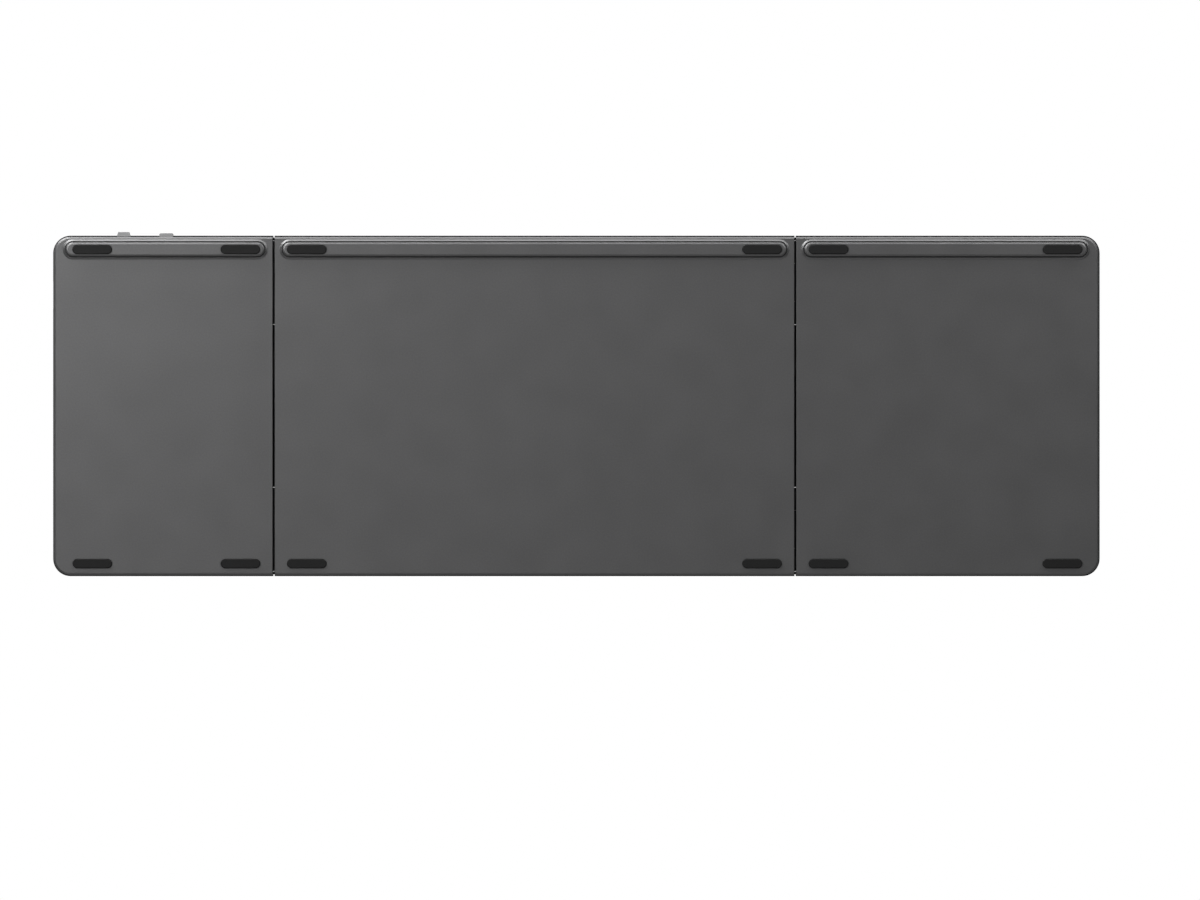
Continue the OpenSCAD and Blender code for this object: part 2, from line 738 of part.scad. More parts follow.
// the bent plate below a unit's knuckles: a flange along the seam and a foot under the frame
module leaf_plate(screw_u, screw_y) {
  y0 = hinge_y - hinge_l / 2;
  y1 = hinge_y + hinge_l / 2;
  difference() {
    union() {
      box([flange_in, y0, leaf_z], [flange_out, y1, flange_top_z]);
      box([flange_in, screw_y - leaf_foot_margin, leaf_z], [leaf_length, y1, leaf_z + leaf_t]);
    }
    translate([screw_u, screw_y, leaf_z - OVER])
      cylinder(r = screw_r + screw_clear, h = leaf_t + 2 * OVER);
  }
}

// the knuckle that turns with a wing sits between the two of the middle panel
module wing_leaf(screw_y) {
  leaf_plate(wing_foot_u, screw_y);
  knuckle(hinge_y - wing_knuckle_l / 2, hinge_y + wing_knuckle_l / 2, pin_r + pin_play);
}

module middle_leaf(screw_y) {
  leaf_plate(middle_foot_u, screw_y);
  knuckle(hinge_y - hinge_l / 2, hinge_y - hinge_l / 2 + end_knuckle_l, pin_r + pin_fit);
  knuckle(hinge_y + hinge_l / 2 - end_knuckle_l, hinge_y + hinge_l / 2, pin_r + pin_fit);
}

module wing_leaves() {
  wing_leaf(rail_y);
  mirror([0, 1, 0]) wing_leaf(-front_foot_y);
}

module left_hinge_leaves() { color("#4a4a4c") at_left() wing_leaves(); }
module right_hinge_leaves() { color("#4a4a4c") at_right() wing_leaves(); }

module middle_hinge_leaves() {
  color("#4a4a4c") at_middle() both_sides() translate([-hinge_spacing / 2, 0, 0]) {
    middle_leaf(rail_y);
    mirror([0, 1, 0]) middle_leaf(-front_foot_y);
  }
}

module hinge_pins() {
  color("#b0b0b0") at_middle() both_sides() both_ends()
    translate([-hinge_spacing / 2, hinge_y + hinge_l / 2, axis_z])
      rotate([90, 0, 0]) cylinder(r = pin_r, h = hinge_l);
}

// Sheets under the keys

// a sheet over a key area; x0 and x1 are its ends, inside the outer key openings
module key_sheet(x0, x1, z0, z1) {
  inset = web_w / 2 - 0.1;
  box([x0 + inset, centre_y + keys_front_y + inset, z0], [x1 - inset, centre_y + keys_rear_y - inset, z1]);
}

module base_plate(x0, x1) {
  color("#8c8f92") key_sheet(x0, x1, floor_z, base_top_z - sheet_gap);
  color("#3f5a48") key_sheet(x0, x1, base_top_z, membrane_top_z);
}

left_keys_end = left_keys_x + left_units * left_pitch;
middle_keys_end = middle_keys_x + middle_units * middle_pitch;
module left_base_plate() { base_plate(left_keys_x, left_keys_end); }
module middle_base_plate() { base_plate(middle_keys_x, middle_keys_end); }

// where the lifting parts of a key stand: one place, or two on a wide key
function lift_places(k) =
  k[3] < 2 ? [[k[1], k[2]]] : [for (s = [-0.25, 0.25]) [k[1] + s * k[3] * k[4], k[2]]];

module dome() {
  rotate_extrude() polygon([
    [dome_r - dome_wall, sheet_top_z - FIT], [dome_r, sheet_top_z - FIT],
    [dome_r, sheet_top_z + 0.2], [dome_top_r, lift_z - 0.5], [dome_top_r, lift_z], [0, lift_z],
    [0, lift_z - dome_wall], [dome_top_r - dome_wall, lift_z - dome_wall - 0.3]
  ]);
}

module dome_sheet(keys, x0, x1) {
  color("#c9c9c4") {
    difference() {
      key_sheet(x0, x1, membrane_top_z, sheet_top_z);
      for (k = keys) for (p = lift_places(k)) translate([p[0], p[1], membrane_top_z - OVER])
        cylinder(r = dome_r - dome_wall, h = silicone_t + 2 * OVER);
    }
    for (k = keys) for (p = lift_places(k)) translate([p[0], p[1], 0]) dome();
  }
}

module left_dome_sheet() { dome_sheet(LEFT_KEYS, left_keys_x, left_keys_end); }
module middle_dome_sheet() { dome_sheet(MIDDLE_KEYS, middle_keys_x, middle_keys_end); }

// one link frame of a scissor, tilted about its middle
module scissor_link(w, tilt) {
  rotate([tilt, 0, 0]) difference() {
    cube([w, link_depth, link_t], center = true);
    cube([w - 2 * link_bar, link_depth - 2 * link_bar, 2 * link_t], center = true);
  }
}

module scissors(keys) {
  color("#e4e4df") for (k = keys) for (p = lift_places(k))
    translate([p[0], p[1], (sheet_top_z + lift_z) / 2]) {
      scissor_link(outer_link_w, link_tilt);
      scissor_link(inner_link_w, -link_tilt);
    }
}

module left_scissors() { scissors(LEFT_KEYS); }
module middle_scissors() { scissors(MIDDLE_KEYS); }

// Keycaps

// half of a side view of a cap, across a width w
module cap_section(w) {
  top = w / 2 - key_draft;
  polygon([
    [-w / 2, cap_bottom_z], [w / 2, cap_bottom_z], [w / 2, top_z],
    [top, key_z - key_top_chamfer], [top - key_top_chamfer, key_z],
    [key_top_chamfer - top, key_z], [-top, key_z - key_top_chamfer], [-w / 2, top_z]
  ]);
}

module keycap(k) {
  w = k[3] * k[4] - web_w - 2 * key_clear;
  d = pitch_y - web_w - 2 * key_clear;
  flat_w = w - 2 * key_draft;
  dish_r = (pow(flat_w / 2, 2) + pow(key_dish, 2)) / (2 * key_dish);
  translate([k[1], k[2], 0]) {
    difference() {
      intersection() {
        translate([0, d / 2, 0]) rotate([90, 0, 0]) linear_extrude(d) cap_section(w);
        translate([-w / 2, 0, 0]) rotate([90, 0, 90]) linear_extrude(w) cap_section(d);
        translate([0, 0, cap_bottom_z - OVER])
          linear_extrude(key_z - cap_bottom_z + 2 * OVER) rounded_square(w, d, key_corner_r);
      }
      box([cap_t - w / 2, cap_t - d / 2, cap_bottom_z - OVER], [w / 2 - cap_t, d / 2 - cap_t, cap_ceiling_z]);
      if (k[3] == 1) translate([0, d, key_z - key_dish + dish_r])
        rotate([90, 0, 0]) cylinder(r = dish_r, h = 2 * d, $fn = 240);
    }
    for (p = lift_places(k)) translate([p[0] - k[1], 0, 0]) cap_fittings();
  }
}

// the post over the dome and the two rails that the scissor links hold
module cap_fittings() {
  rail_w = outer_link_w - 2;
  translate([0, 0, lift_z + FIT]) cylinder(r = dome_top_r, h = cap_ceiling_z - lift_z);
  for (s = [-1, 1]) translate([-rail_w / 2, s * (link_depth / 2 - link_bar / 2) - 0.3, lift_z + FIT])
    cube([rail_w, 0.6, cap_ceiling_z - lift_z]);
}

module keys(list) { color("#232323") for (k = list) keycap(k); }
module left_side_keys() { keys(LEFT_SIDE); }
module middle_number_keys() { keys(MIDDLE_NUMBERS); }
module middle_side_keys() { keys(MIDDLE_SIDE); }

// Pieces of the right wing

module touchpad() {
  at_right() {
    color("#3a3a3a") box([pad_u + pad_clear, pad_y0 + pad_clear, frame_z + sheet_gap],
      [pad_end - pad_clear, pad_y1 - pad_clear, top_z - pad_sunk]);
    color("#2f5a3c") box([pad_u - pad_ledge, pad_y0 - pad_ledge, frame_z - pad_board_t],
      [pad_end + pad_ledge, pad_y1 + pad_ledge, frame_z]);
  }
}

module battery() {
  margin = 3;
  lead_w = 3;
  lead_t = 0.2;
  lead_inset = 8;
  lead_under_board = 3;
  u1 = pad_end - margin;
  v1 = pad_y1 - margin;
  color("#b8bcc0") at_right() {
    box([ribbon_run + margin + 1, pad_y0 + margin, floor_z], [u1, v1, floor_z + battery_t]);
    box([u1 - lead_inset, v1 - FIT, floor_z],
        [u1 - lead_inset + lead_w, board_y0 + lead_under_board, floor_z + lead_t]);
  }
}

module main_board() {
  part_t = 0.9;
  board_gap = 0.5;
  post_inset = 2;
  post_pitch = 12;
  top = board_z + board_t;
  at_right() {
    color("#1f4a30") difference() {
      box([board_u0, board_y0, board_z], [board_u1, board_y1, top]);
      for (p = RIGHT_FEET)
        translate([p[0], p[1], 0]) cylinder(r = boss_r + board_gap, h = top_z);
    }
    color("#1f4a30") for (u = [board_u0 + post_inset, board_u1 - post_inset]) for (i = [0, 1])
      translate([u, board_y0 + post_inset + i * post_pitch, floor_z])
        cylinder(r = 1, h = board_z - floor_z + FIT);
    color("#202020") {
      box([board_u0 + 8, board_y0 + 5, top - FIT], [board_u0 + 14, board_y0 + 11, top + part_t]);
      box([board_u0 + 20, board_y0 + 4, top - FIT], [board_u0 + 24, board_y0 + 8, top + part_t]);
    }
    color("#c0c0c0") {
      box([switch_u - switch_travel / 2 - 4, board_y1 - 3.2, top - FIT],
          [switch_u - switch_travel / 2 + 4, board_y1 - FIT, top + part_t]);
      box([button_u - 2.2, board_y1 - 3, top - FIT], [button_u + 2.2, board_y1 - FIT, top + part_t]);
    }
    color("#e8e8e0") indicator_row()
      translate([0, 0, top - FIT]) cylinder(r = indicator_r - 2 * FIT, h = top_z - top);
  }
}

module charging_socket() {
  u1 = right_reach - rim_show;
  z1 = floor_z + socket_h;
  color("#c8c8c8") at_right() difference() {
    box([u1 - socket_depth, socket_y - socket_w / 2, floor_z], [u1, socket_y + socket_w / 2, z1]);
    box([u1 - socket_depth + 1, socket_y - socket_w / 2 + socket_t, floor_z + socket_t],
        [u1 + OVER, socket_y + socket_w / 2 - socket_t, z1 - socket_t]);
  }
  color("#202020") at_right()
    box([u1 - socket_depth + 1 - FIT, socket_y - socket_w / 4, floor_z + 0.95],
        [u1 - 0.8, socket_y + socket_w / 4, floor_z + 1.45]);
}

// a knob outside the wall, its stem through the window and a flange behind the wall
module power_switch() {
  base = cover_half_d + FIT;
  tip = half_d + switch_proud;
  taper = 0.45;
  color("#9a9a9a") at_right() translate([switch_u, 0, knob_z]) {
    translate([0, 0, -knob_h / 2]) linear_extrude(knob_h)
      polygon([
        [-knob_w / 2, base], [knob_w / 2, base], [knob_w / 2 - taper, tip], [taper - knob_w / 2, tip]
      ]);
    box([-stem_w / 2, inner_half_d - FIT - flange_t, -stem_h / 2], [stem_w / 2, base + FIT, stem_h / 2]);
    box([-stem_w, inner_half_d - FIT - flange_t, -knob_h / 2], [stem_w, inner_half_d - FIT, knob_h / 2]);
  }
}

module connect_button() {
  tip = half_d + button_proud;
  taper = 0.3;
  lip = 0.6;
  color("#9a9a9a") at_right() translate([button_u, 0, knob_z]) {
    translate([0, 0, -stem_h / 2]) linear_extrude(stem_h)
      polygon([
        [-knob_w / 2, inner_half_d - FIT - flange_t], [knob_w / 2, inner_half_d - FIT - flange_t],
        [knob_w / 2, tip - taper], [knob_w / 2 - taper, tip],
        [taper - knob_w / 2, tip], [-knob_w / 2, tip - taper]
      ]);
    box([-knob_w / 2 - lip, inner_half_d - FIT - flange_t, -knob_h / 2],
        [knob_w / 2 + lip, inner_half_d - FIT, knob_h / 2]);
  }
}

// Ribbons

// a ribbon's side view on one side of a seam: u along the panel, height of its lower face
module ribbon_half(run, low_z) {
  translate([0, ribbon_y + ribbon_w / 2, 0]) rotate([90, 0, 0]) linear_extrude(ribbon_w) {
    translate([-FIT, ribbon_cross_z]) square([ribbon_turn_u + ribbon_t + FIT, ribbon_t]);
    translate([ribbon_turn_u, low_z]) square([ribbon_t, ribbon_cross_z - low_z]);
    translate([ribbon_turn_u, low_z]) square([run - ribbon_turn_u, ribbon_t]);
  }
}

module flex_ribbons() {
  low_z = floor_z - channel_deep + FIT;
  color("#2a2a2a") {
    at_middle() both_sides() translate([-hinge_spacing / 2, 0, 0]) ribbon_half(ribbon_run, low_z);
    at_left() ribbon_half(ribbon_run, low_z);
    at_right() {
      ribbon_half(ribbon_run, floor_z + FIT);
      translate([0, 0, floor_z + FIT]) linear_extrude(ribbon_t) {
        translate([ribbon_run - ribbon_tail_w, ribbon_y]) square([ribbon_tail_w, board_y0 + 4 - ribbon_y]);
        translate([ribbon_run - ribbon_tail_w, board_y0 + 4 - ribbon_tail_w])
          square([board_u0 + 1 - ribbon_run + ribbon_tail_w, ribbon_tail_w]);
      }
    }
  }
}

left_bottom_cover();
middle_bottom_cover();
right_bottom_cover();
left_top_frame();
middle_top_frame();
right_top_frame();
left_feet();
middle_feet();
right_feet();
left_screws();
middle_screws();
right_screws();
left_hinge_leaves();
middle_hinge_leaves();
right_hinge_leaves();
hinge_pins();
left_base_plate();
middle_base_plate();
left_dome_sheet();
middle_dome_sheet();
left_scissors();
middle_scissors();
touchpad();
battery();
main_board();
charging_socket();
power_switch();
connect_button();
flex_ribbons();
left_side_keys();
middle_number_keys();
middle_side_keys();
for (k = OWN_KEYS) keys([k]);
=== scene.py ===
import json
import math

import bpy
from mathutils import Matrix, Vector


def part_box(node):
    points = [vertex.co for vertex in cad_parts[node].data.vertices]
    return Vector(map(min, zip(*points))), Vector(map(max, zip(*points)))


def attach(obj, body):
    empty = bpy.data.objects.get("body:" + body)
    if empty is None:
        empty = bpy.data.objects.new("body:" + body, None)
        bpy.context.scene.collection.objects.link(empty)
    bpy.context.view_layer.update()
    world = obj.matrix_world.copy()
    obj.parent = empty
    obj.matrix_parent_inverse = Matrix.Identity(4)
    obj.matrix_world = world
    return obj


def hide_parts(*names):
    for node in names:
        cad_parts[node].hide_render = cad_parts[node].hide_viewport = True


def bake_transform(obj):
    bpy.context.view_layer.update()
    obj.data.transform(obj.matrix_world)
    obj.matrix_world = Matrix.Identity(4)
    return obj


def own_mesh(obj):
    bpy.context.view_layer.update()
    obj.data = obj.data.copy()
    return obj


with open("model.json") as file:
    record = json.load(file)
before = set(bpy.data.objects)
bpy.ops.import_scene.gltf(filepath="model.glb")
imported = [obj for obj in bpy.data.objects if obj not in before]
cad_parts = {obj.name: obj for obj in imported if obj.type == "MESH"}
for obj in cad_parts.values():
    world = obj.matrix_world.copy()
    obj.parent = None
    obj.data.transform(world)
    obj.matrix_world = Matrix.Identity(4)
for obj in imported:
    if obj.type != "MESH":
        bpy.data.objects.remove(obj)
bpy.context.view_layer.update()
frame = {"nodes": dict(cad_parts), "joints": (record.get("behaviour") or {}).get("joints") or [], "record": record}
nodes = frame["nodes"]
mm = 0.001
print("frame loaded:", len(nodes), "nodes")

# Small helpers that stand for what a hand would do in the window


def deselectAll():
    if bpy.context.object and bpy.context.object.mode != "OBJECT":
        bpy.ops.object.mode_set(mode="OBJECT")
    bpy.ops.object.select_all(action="DESELECT")


def pick(obj):
    deselectAll()
    obj.select_set(True)
    bpy.context.view_layer.objects.active = obj


def settle(obj):
    # place, turn and size go into the mesh, so the object ends at the origin
    pick(obj)
    bpy.ops.object.transform_apply(location=True, rotation=True, scale=True)


def applyModifiers(obj):
    pick(obj)
    for modifier in list(obj.modifiers):
        bpy.ops.object.modifier_apply(modifier=modifier.name)


def finishPiece(obj, name, material, body):
    obj.name = name
    obj.data.name = name
    obj.data.materials.clear()
    obj.data.materials.append(material)
    if body:
        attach(obj, body)
    return obj


# Shader groups that several finishes share


grainLook = {"detail": 3.0, "roughness": 0.62, "cloudDetail": 2.0}


def makeGrainGroup():
    # fine grain and a slow change of tone, both around 0.5
    group = bpy.data.node_groups.new("grain", "ShaderNodeTree")
    group.interface.new_socket("Grain Scale", in_out="INPUT", socket_type="NodeSocketFloat")
    group.interface.new_socket("Cloud Scale", in_out="INPUT", socket_type="NodeSocketFloat")
    group.interface.new_socket("Grain", in_out="OUTPUT", socket_type="NodeSocketFloat")
    group.interface.new_socket("Cloud", in_out="OUTPUT", socket_type="NodeSocketFloat")
    group.interface.new_socket("Speckle", in_out="OUTPUT", socket_type="NodeSocketFloat")
    links = group.links
    entry = group.nodes.new("NodeGroupInput")
    leave = group.nodes.new("NodeGroupOutput")
    coords = group.nodes.new("ShaderNodeTexCoord")
    fine = group.nodes.new("ShaderNodeTexNoise")
    fine.inputs["Detail"].default_value = grainLook["detail"]
    fine.inputs["Roughness"].default_value = grainLook["roughness"]
    cloud = group.nodes.new("ShaderNodeTexNoise")
    cloud.inputs["Detail"].default_value = grainLook["cloudDetail"]
    speckle = group.nodes.new("ShaderNodeTexVoronoi")
    speckle.feature = "F1"
    scaleOf = {fine: "Grain Scale", cloud: "Cloud Scale", speckle: "Grain Scale"}
    for texture, scaleName in scaleOf.items():
        links.new(coords.outputs["Object"], texture.inputs["Vector"])
        links.new(entry.outputs[scaleName], texture.inputs["Scale"])
    links.new(fine.outputs["Fac"], leave.inputs["Grain"])
    links.new(cloud.outputs["Fac"], leave.inputs["Cloud"])
    links.new(speckle.outputs["Distance"], leave.inputs["Speckle"])
    return group


def makeToneGroup():
    # a base colour made lighter and darker by two masks
    group = bpy.data.node_groups.new("tone", "ShaderNodeTree")
    for name, kind in (
        ("Dark", "NodeSocketColor"), ("Light", "NodeSocketColor"),
        ("Grain", "NodeSocketFloat"), ("Cloud", "NodeSocketFloat"),
        ("Grain Share", "NodeSocketFloat"), ("Cloud Share", "NodeSocketFloat"),
    ):
        group.interface.new_socket(name, in_out="INPUT", socket_type=kind)
    group.interface.new_socket("Color", in_out="OUTPUT", socket_type="NodeSocketColor")
    links = group.links
    entry = group.nodes.new("NodeGroupInput")
    leave = group.nodes.new("NodeGroupOutput")

    def centred(value, share):
        # (value - 0.5) * share
        shift = group.nodes.new("ShaderNodeMath")
        shift.operation = "SUBTRACT"
        shift.inputs[1].default_value = 0.5
        scale = group.nodes.new("ShaderNodeMath")
        scale.operation = "MULTIPLY"
        links.new(entry.outputs[value], shift.inputs[0])
        links.new(shift.outputs[0], scale.inputs[0])
        links.new(entry.outputs[share], scale.inputs[1])
        return scale

    total = group.nodes.new("ShaderNodeMath")
    total.operation = "ADD"
    middle = group.nodes.new("ShaderNodeMath")
    middle.operation = "ADD"
    middle.use_clamp = True
    middle.inputs[1].default_value = 0.5
    links.new(centred("Grain", "Grain Share").outputs[0], total.inputs[0])
    links.new(centred("Cloud", "Cloud Share").outputs[0], total.inputs[1])
    links.new(total.outputs[0], middle.inputs[0])
    mix = group.nodes.new("ShaderNodeMix")
    mix.data_type = "RGBA"
    links.new(middle.outputs[0], mix.inputs["Factor"])
    links.new(entry.outputs["Dark"], mix.inputs["A"])
    links.new(entry.outputs["Light"], mix.inputs["B"])
    links.new(mix.outputs["Result"], leave.inputs["Color"])
    return group


def makeFade(tree, full, none):
    # 1 at full and below, 0 at none and above
    limit = tree.nodes.new("ShaderNodeMapRange")
    limit.inputs["From Min"].default_value = full
    limit.inputs["From Max"].default_value = none
    limit.inputs["To Min"].default_value = 1.0
    limit.inputs["To Max"].default_value = 0.0
    return limit


edgeLook = {"samples": 4, "turned": 0.8, "flat": 0.99}  # the last two are cosines of the turn


def makeEdgeGroup():
    # normals rounded over an edge, and a mask of where they turn
    group = bpy.data.node_groups.new("edge", "ShaderNodeTree")
    group.interface.new_socket("Radius", in_out="INPUT", socket_type="NodeSocketFloat")
    group.interface.new_socket("Normal", in_out="OUTPUT", socket_type="NodeSocketVector")
    group.interface.new_socket("Mask", in_out="OUTPUT", socket_type="NodeSocketFloat")
    entry = group.nodes.new("NodeGroupInput")
    leave = group.nodes.new("NodeGroupOutput")
    soft = group.nodes.new("ShaderNodeBevel")
    soft.samples = edgeLook["samples"]
    flat = group.nodes.new("ShaderNodeNewGeometry")
    turn = group.nodes.new("ShaderNodeVectorMath")
    turn.operation = "DOT_PRODUCT"
    limit = makeFade(group, edgeLook["turned"], edgeLook["flat"])
    group.links.new(entry.outputs["Radius"], soft.inputs["Radius"])
    group.links.new(soft.outputs["Normal"], turn.inputs[0])
    group.links.new(flat.outputs["Normal"], turn.inputs[1])
    group.links.new(turn.outputs["Value"], limit.inputs["Value"])
    group.links.new(soft.outputs["Normal"], leave.inputs["Normal"])
    group.links.new(limit.outputs["Result"], leave.inputs["Mask"])
    return group


shadedWallLook = {"upright": 0.25, "sloped": 0.5}  # how far a normal points up or down


def makeShadedWallGroup():
    # 1 on upright walls, 0 on flat faces and slopes, in the piece's own directions; it marks where the painted
    # shade goes
    group = bpy.data.node_groups.new("wall", "ShaderNodeTree")
    group.interface.new_socket("Mask", in_out="OUTPUT", socket_type="NodeSocketFloat")
    leave = group.nodes.new("NodeGroupOutput")
    coords = group.nodes.new("ShaderNodeTexCoord")
    split = group.nodes.new("ShaderNodeSeparateXYZ")
    size = group.nodes.new("ShaderNodeMath")
    size.operation = "ABSOLUTE"
    limit = makeFade(group, shadedWallLook["upright"], shadedWallLook["sloped"])
    group.links.new(coords.outputs["Normal"], split.inputs[0])
    group.links.new(split.outputs["Z"], size.inputs[0])
    group.links.new(size.outputs[0], limit.inputs["Value"])
    group.links.new(limit.outputs["Result"], leave.inputs["Mask"])
    return group


grainGroup = makeGrainGroup()
toneGroup = makeToneGroup()
shadedWallGroup = makeShadedWallGroup()
edgeGroup = makeEdgeGroup()


def opaque(color):
    return list(color) + [1.0]


def mixByMask(tree, kind, mask, clear, covered, socket):
    # clear where the mask is 0, covered where it is 1
    mix = tree.nodes.new("ShaderNodeMix")
    mix.data_type = kind
    tree.links.new(mask, mix.inputs["Factor"])
    first, second = [port for port in mix.inputs if port.enabled and port.name in "AB"]
    if isinstance(clear, bpy.types.NodeSocket):
        tree.links.new(clear, first)
    else:
        first.default_value = clear
    second.default_value = covered
    mixed = [port for port in mix.outputs if port.enabled][0]
    tree.links.new(mixed, socket)
    return mixed


def paintShadeOnWalls(tree, wall, color, rough, metallic):
    # painted shade: a darker, duller, non-metal colour on the upright walls of a shell, so that the lamps from
    # below don't light them too brightly
    shader = tree.nodes["Principled BSDF"]
    group = tree.nodes.new("ShaderNodeGroup")
    group.node_tree = shadedWallGroup
    mask = group.outputs["Mask"]
    mixByMask(tree, "RGBA", mask, color, opaque(wall["color"]), shader.inputs["Base Color"])
    mixByMask(tree, "FLOAT", mask, rough, wall["roughness"], shader.inputs["Roughness"])
    mixByMask(tree, "FLOAT", mask, metallic, 0.0, shader.inputs["Metallic"])


# what a finish has unless it says otherwise, sizes in millimetres
plainFinish = {
    "metallic": 0.0, "ior": 1.46, "specular": 0.5,
    "spread": 0.1, "cloudSize": 30.0, "grainShare": 1.4, "cloudShare": 0.6,
    "cloudRange": (0.3, 0.7),
    "bump": 0.25, "bumpDepth": 0.02, "bumpFrom": "Grain",
}


def makeFinish(name, ownLook):
    # one finish: two tones, their grain, a roughness band and a fine bump
    look = {**plainFinish, **ownLook}
    material = bpy.data.materials.new(name)
    material.use_nodes = True
    tree = material.node_tree
    shader = tree.nodes["Principled BSDF"]
    shader.inputs["Metallic"].default_value = look["metallic"]
    shader.inputs["IOR"].default_value = look["ior"]
    shader.inputs["Specular IOR Level"].default_value = look["specular"]
    grain = tree.nodes.new("ShaderNodeGroup")
    grain.node_tree = grainGroup
    grain.inputs["Grain Scale"].default_value = 1.0 / (look["grainSize"] * mm)
    grain.inputs["Cloud Scale"].default_value = 1.0 / (look["cloudSize"] * mm)
    tone = tree.nodes.new("ShaderNodeGroup")
    tone.node_tree = toneGroup
    tone.inputs["Dark"].default_value = opaque(c * (1 - look["spread"]) for c in look["color"])
    tone.inputs["Light"].default_value = opaque(c * (1 + look["spread"]) for c in look["color"])
    tone.inputs["Grain Share"].default_value = look["grainShare"]
    tone.inputs["Cloud Share"].default_value = look["cloudShare"]
    tree.links.new(grain.outputs["Grain"], tone.inputs["Grain"])
    tree.links.new(grain.outputs["Cloud"], tone.inputs["Cloud"])
    tree.links.new(tone.outputs["Color"], shader.inputs["Base Color"])
    rough = tree.nodes.new("ShaderNodeMapRange")
    rough.inputs["From Min"].default_value, rough.inputs["From Max"].default_value = look["cloudRange"]
    rough.inputs["To Min"].default_value, rough.inputs["To Max"].default_value = look["roughness"]
    tree.links.new(grain.outputs["Cloud"], rough.inputs["Value"])
    tree.links.new(rough.outputs["Result"], shader.inputs["Roughness"])
    bump = tree.nodes.new("ShaderNodeBump")
    bump.inputs["Strength"].default_value = look["bump"]
    bump.inputs["Distance"].default_value = look["bumpDepth"] * mm
    tree.links.new(grain.outputs[look["bumpFrom"]], bump.inputs["Height"])
    tree.links.new(bump.outputs["Normal"], shader.inputs["Normal"])
    color = tone.outputs["Color"]
    if "edge" in look:
        edge = tree.nodes.new("ShaderNodeGroup")
        edge.node_tree = edgeGroup
        edge.inputs["Radius"].default_value = look["edge"] * mm
        tree.links.new(edge.outputs["Normal"], bump.inputs["Normal"])
        if "edgeColor" in look:
            rubbed = opaque(look["edgeColor"])
            color = mixByMask(tree, "RGBA", edge.outputs["Mask"], color, rubbed, shader.inputs["Base Color"])
    # painted shade: the upright walls get a darker, duller colour
    if "wall" in look:
        paintShadeOnWalls(tree, look["wall"], color, rough.outputs["Result"], look["metallic"])
    return material


# Finishes, by the record's material slots

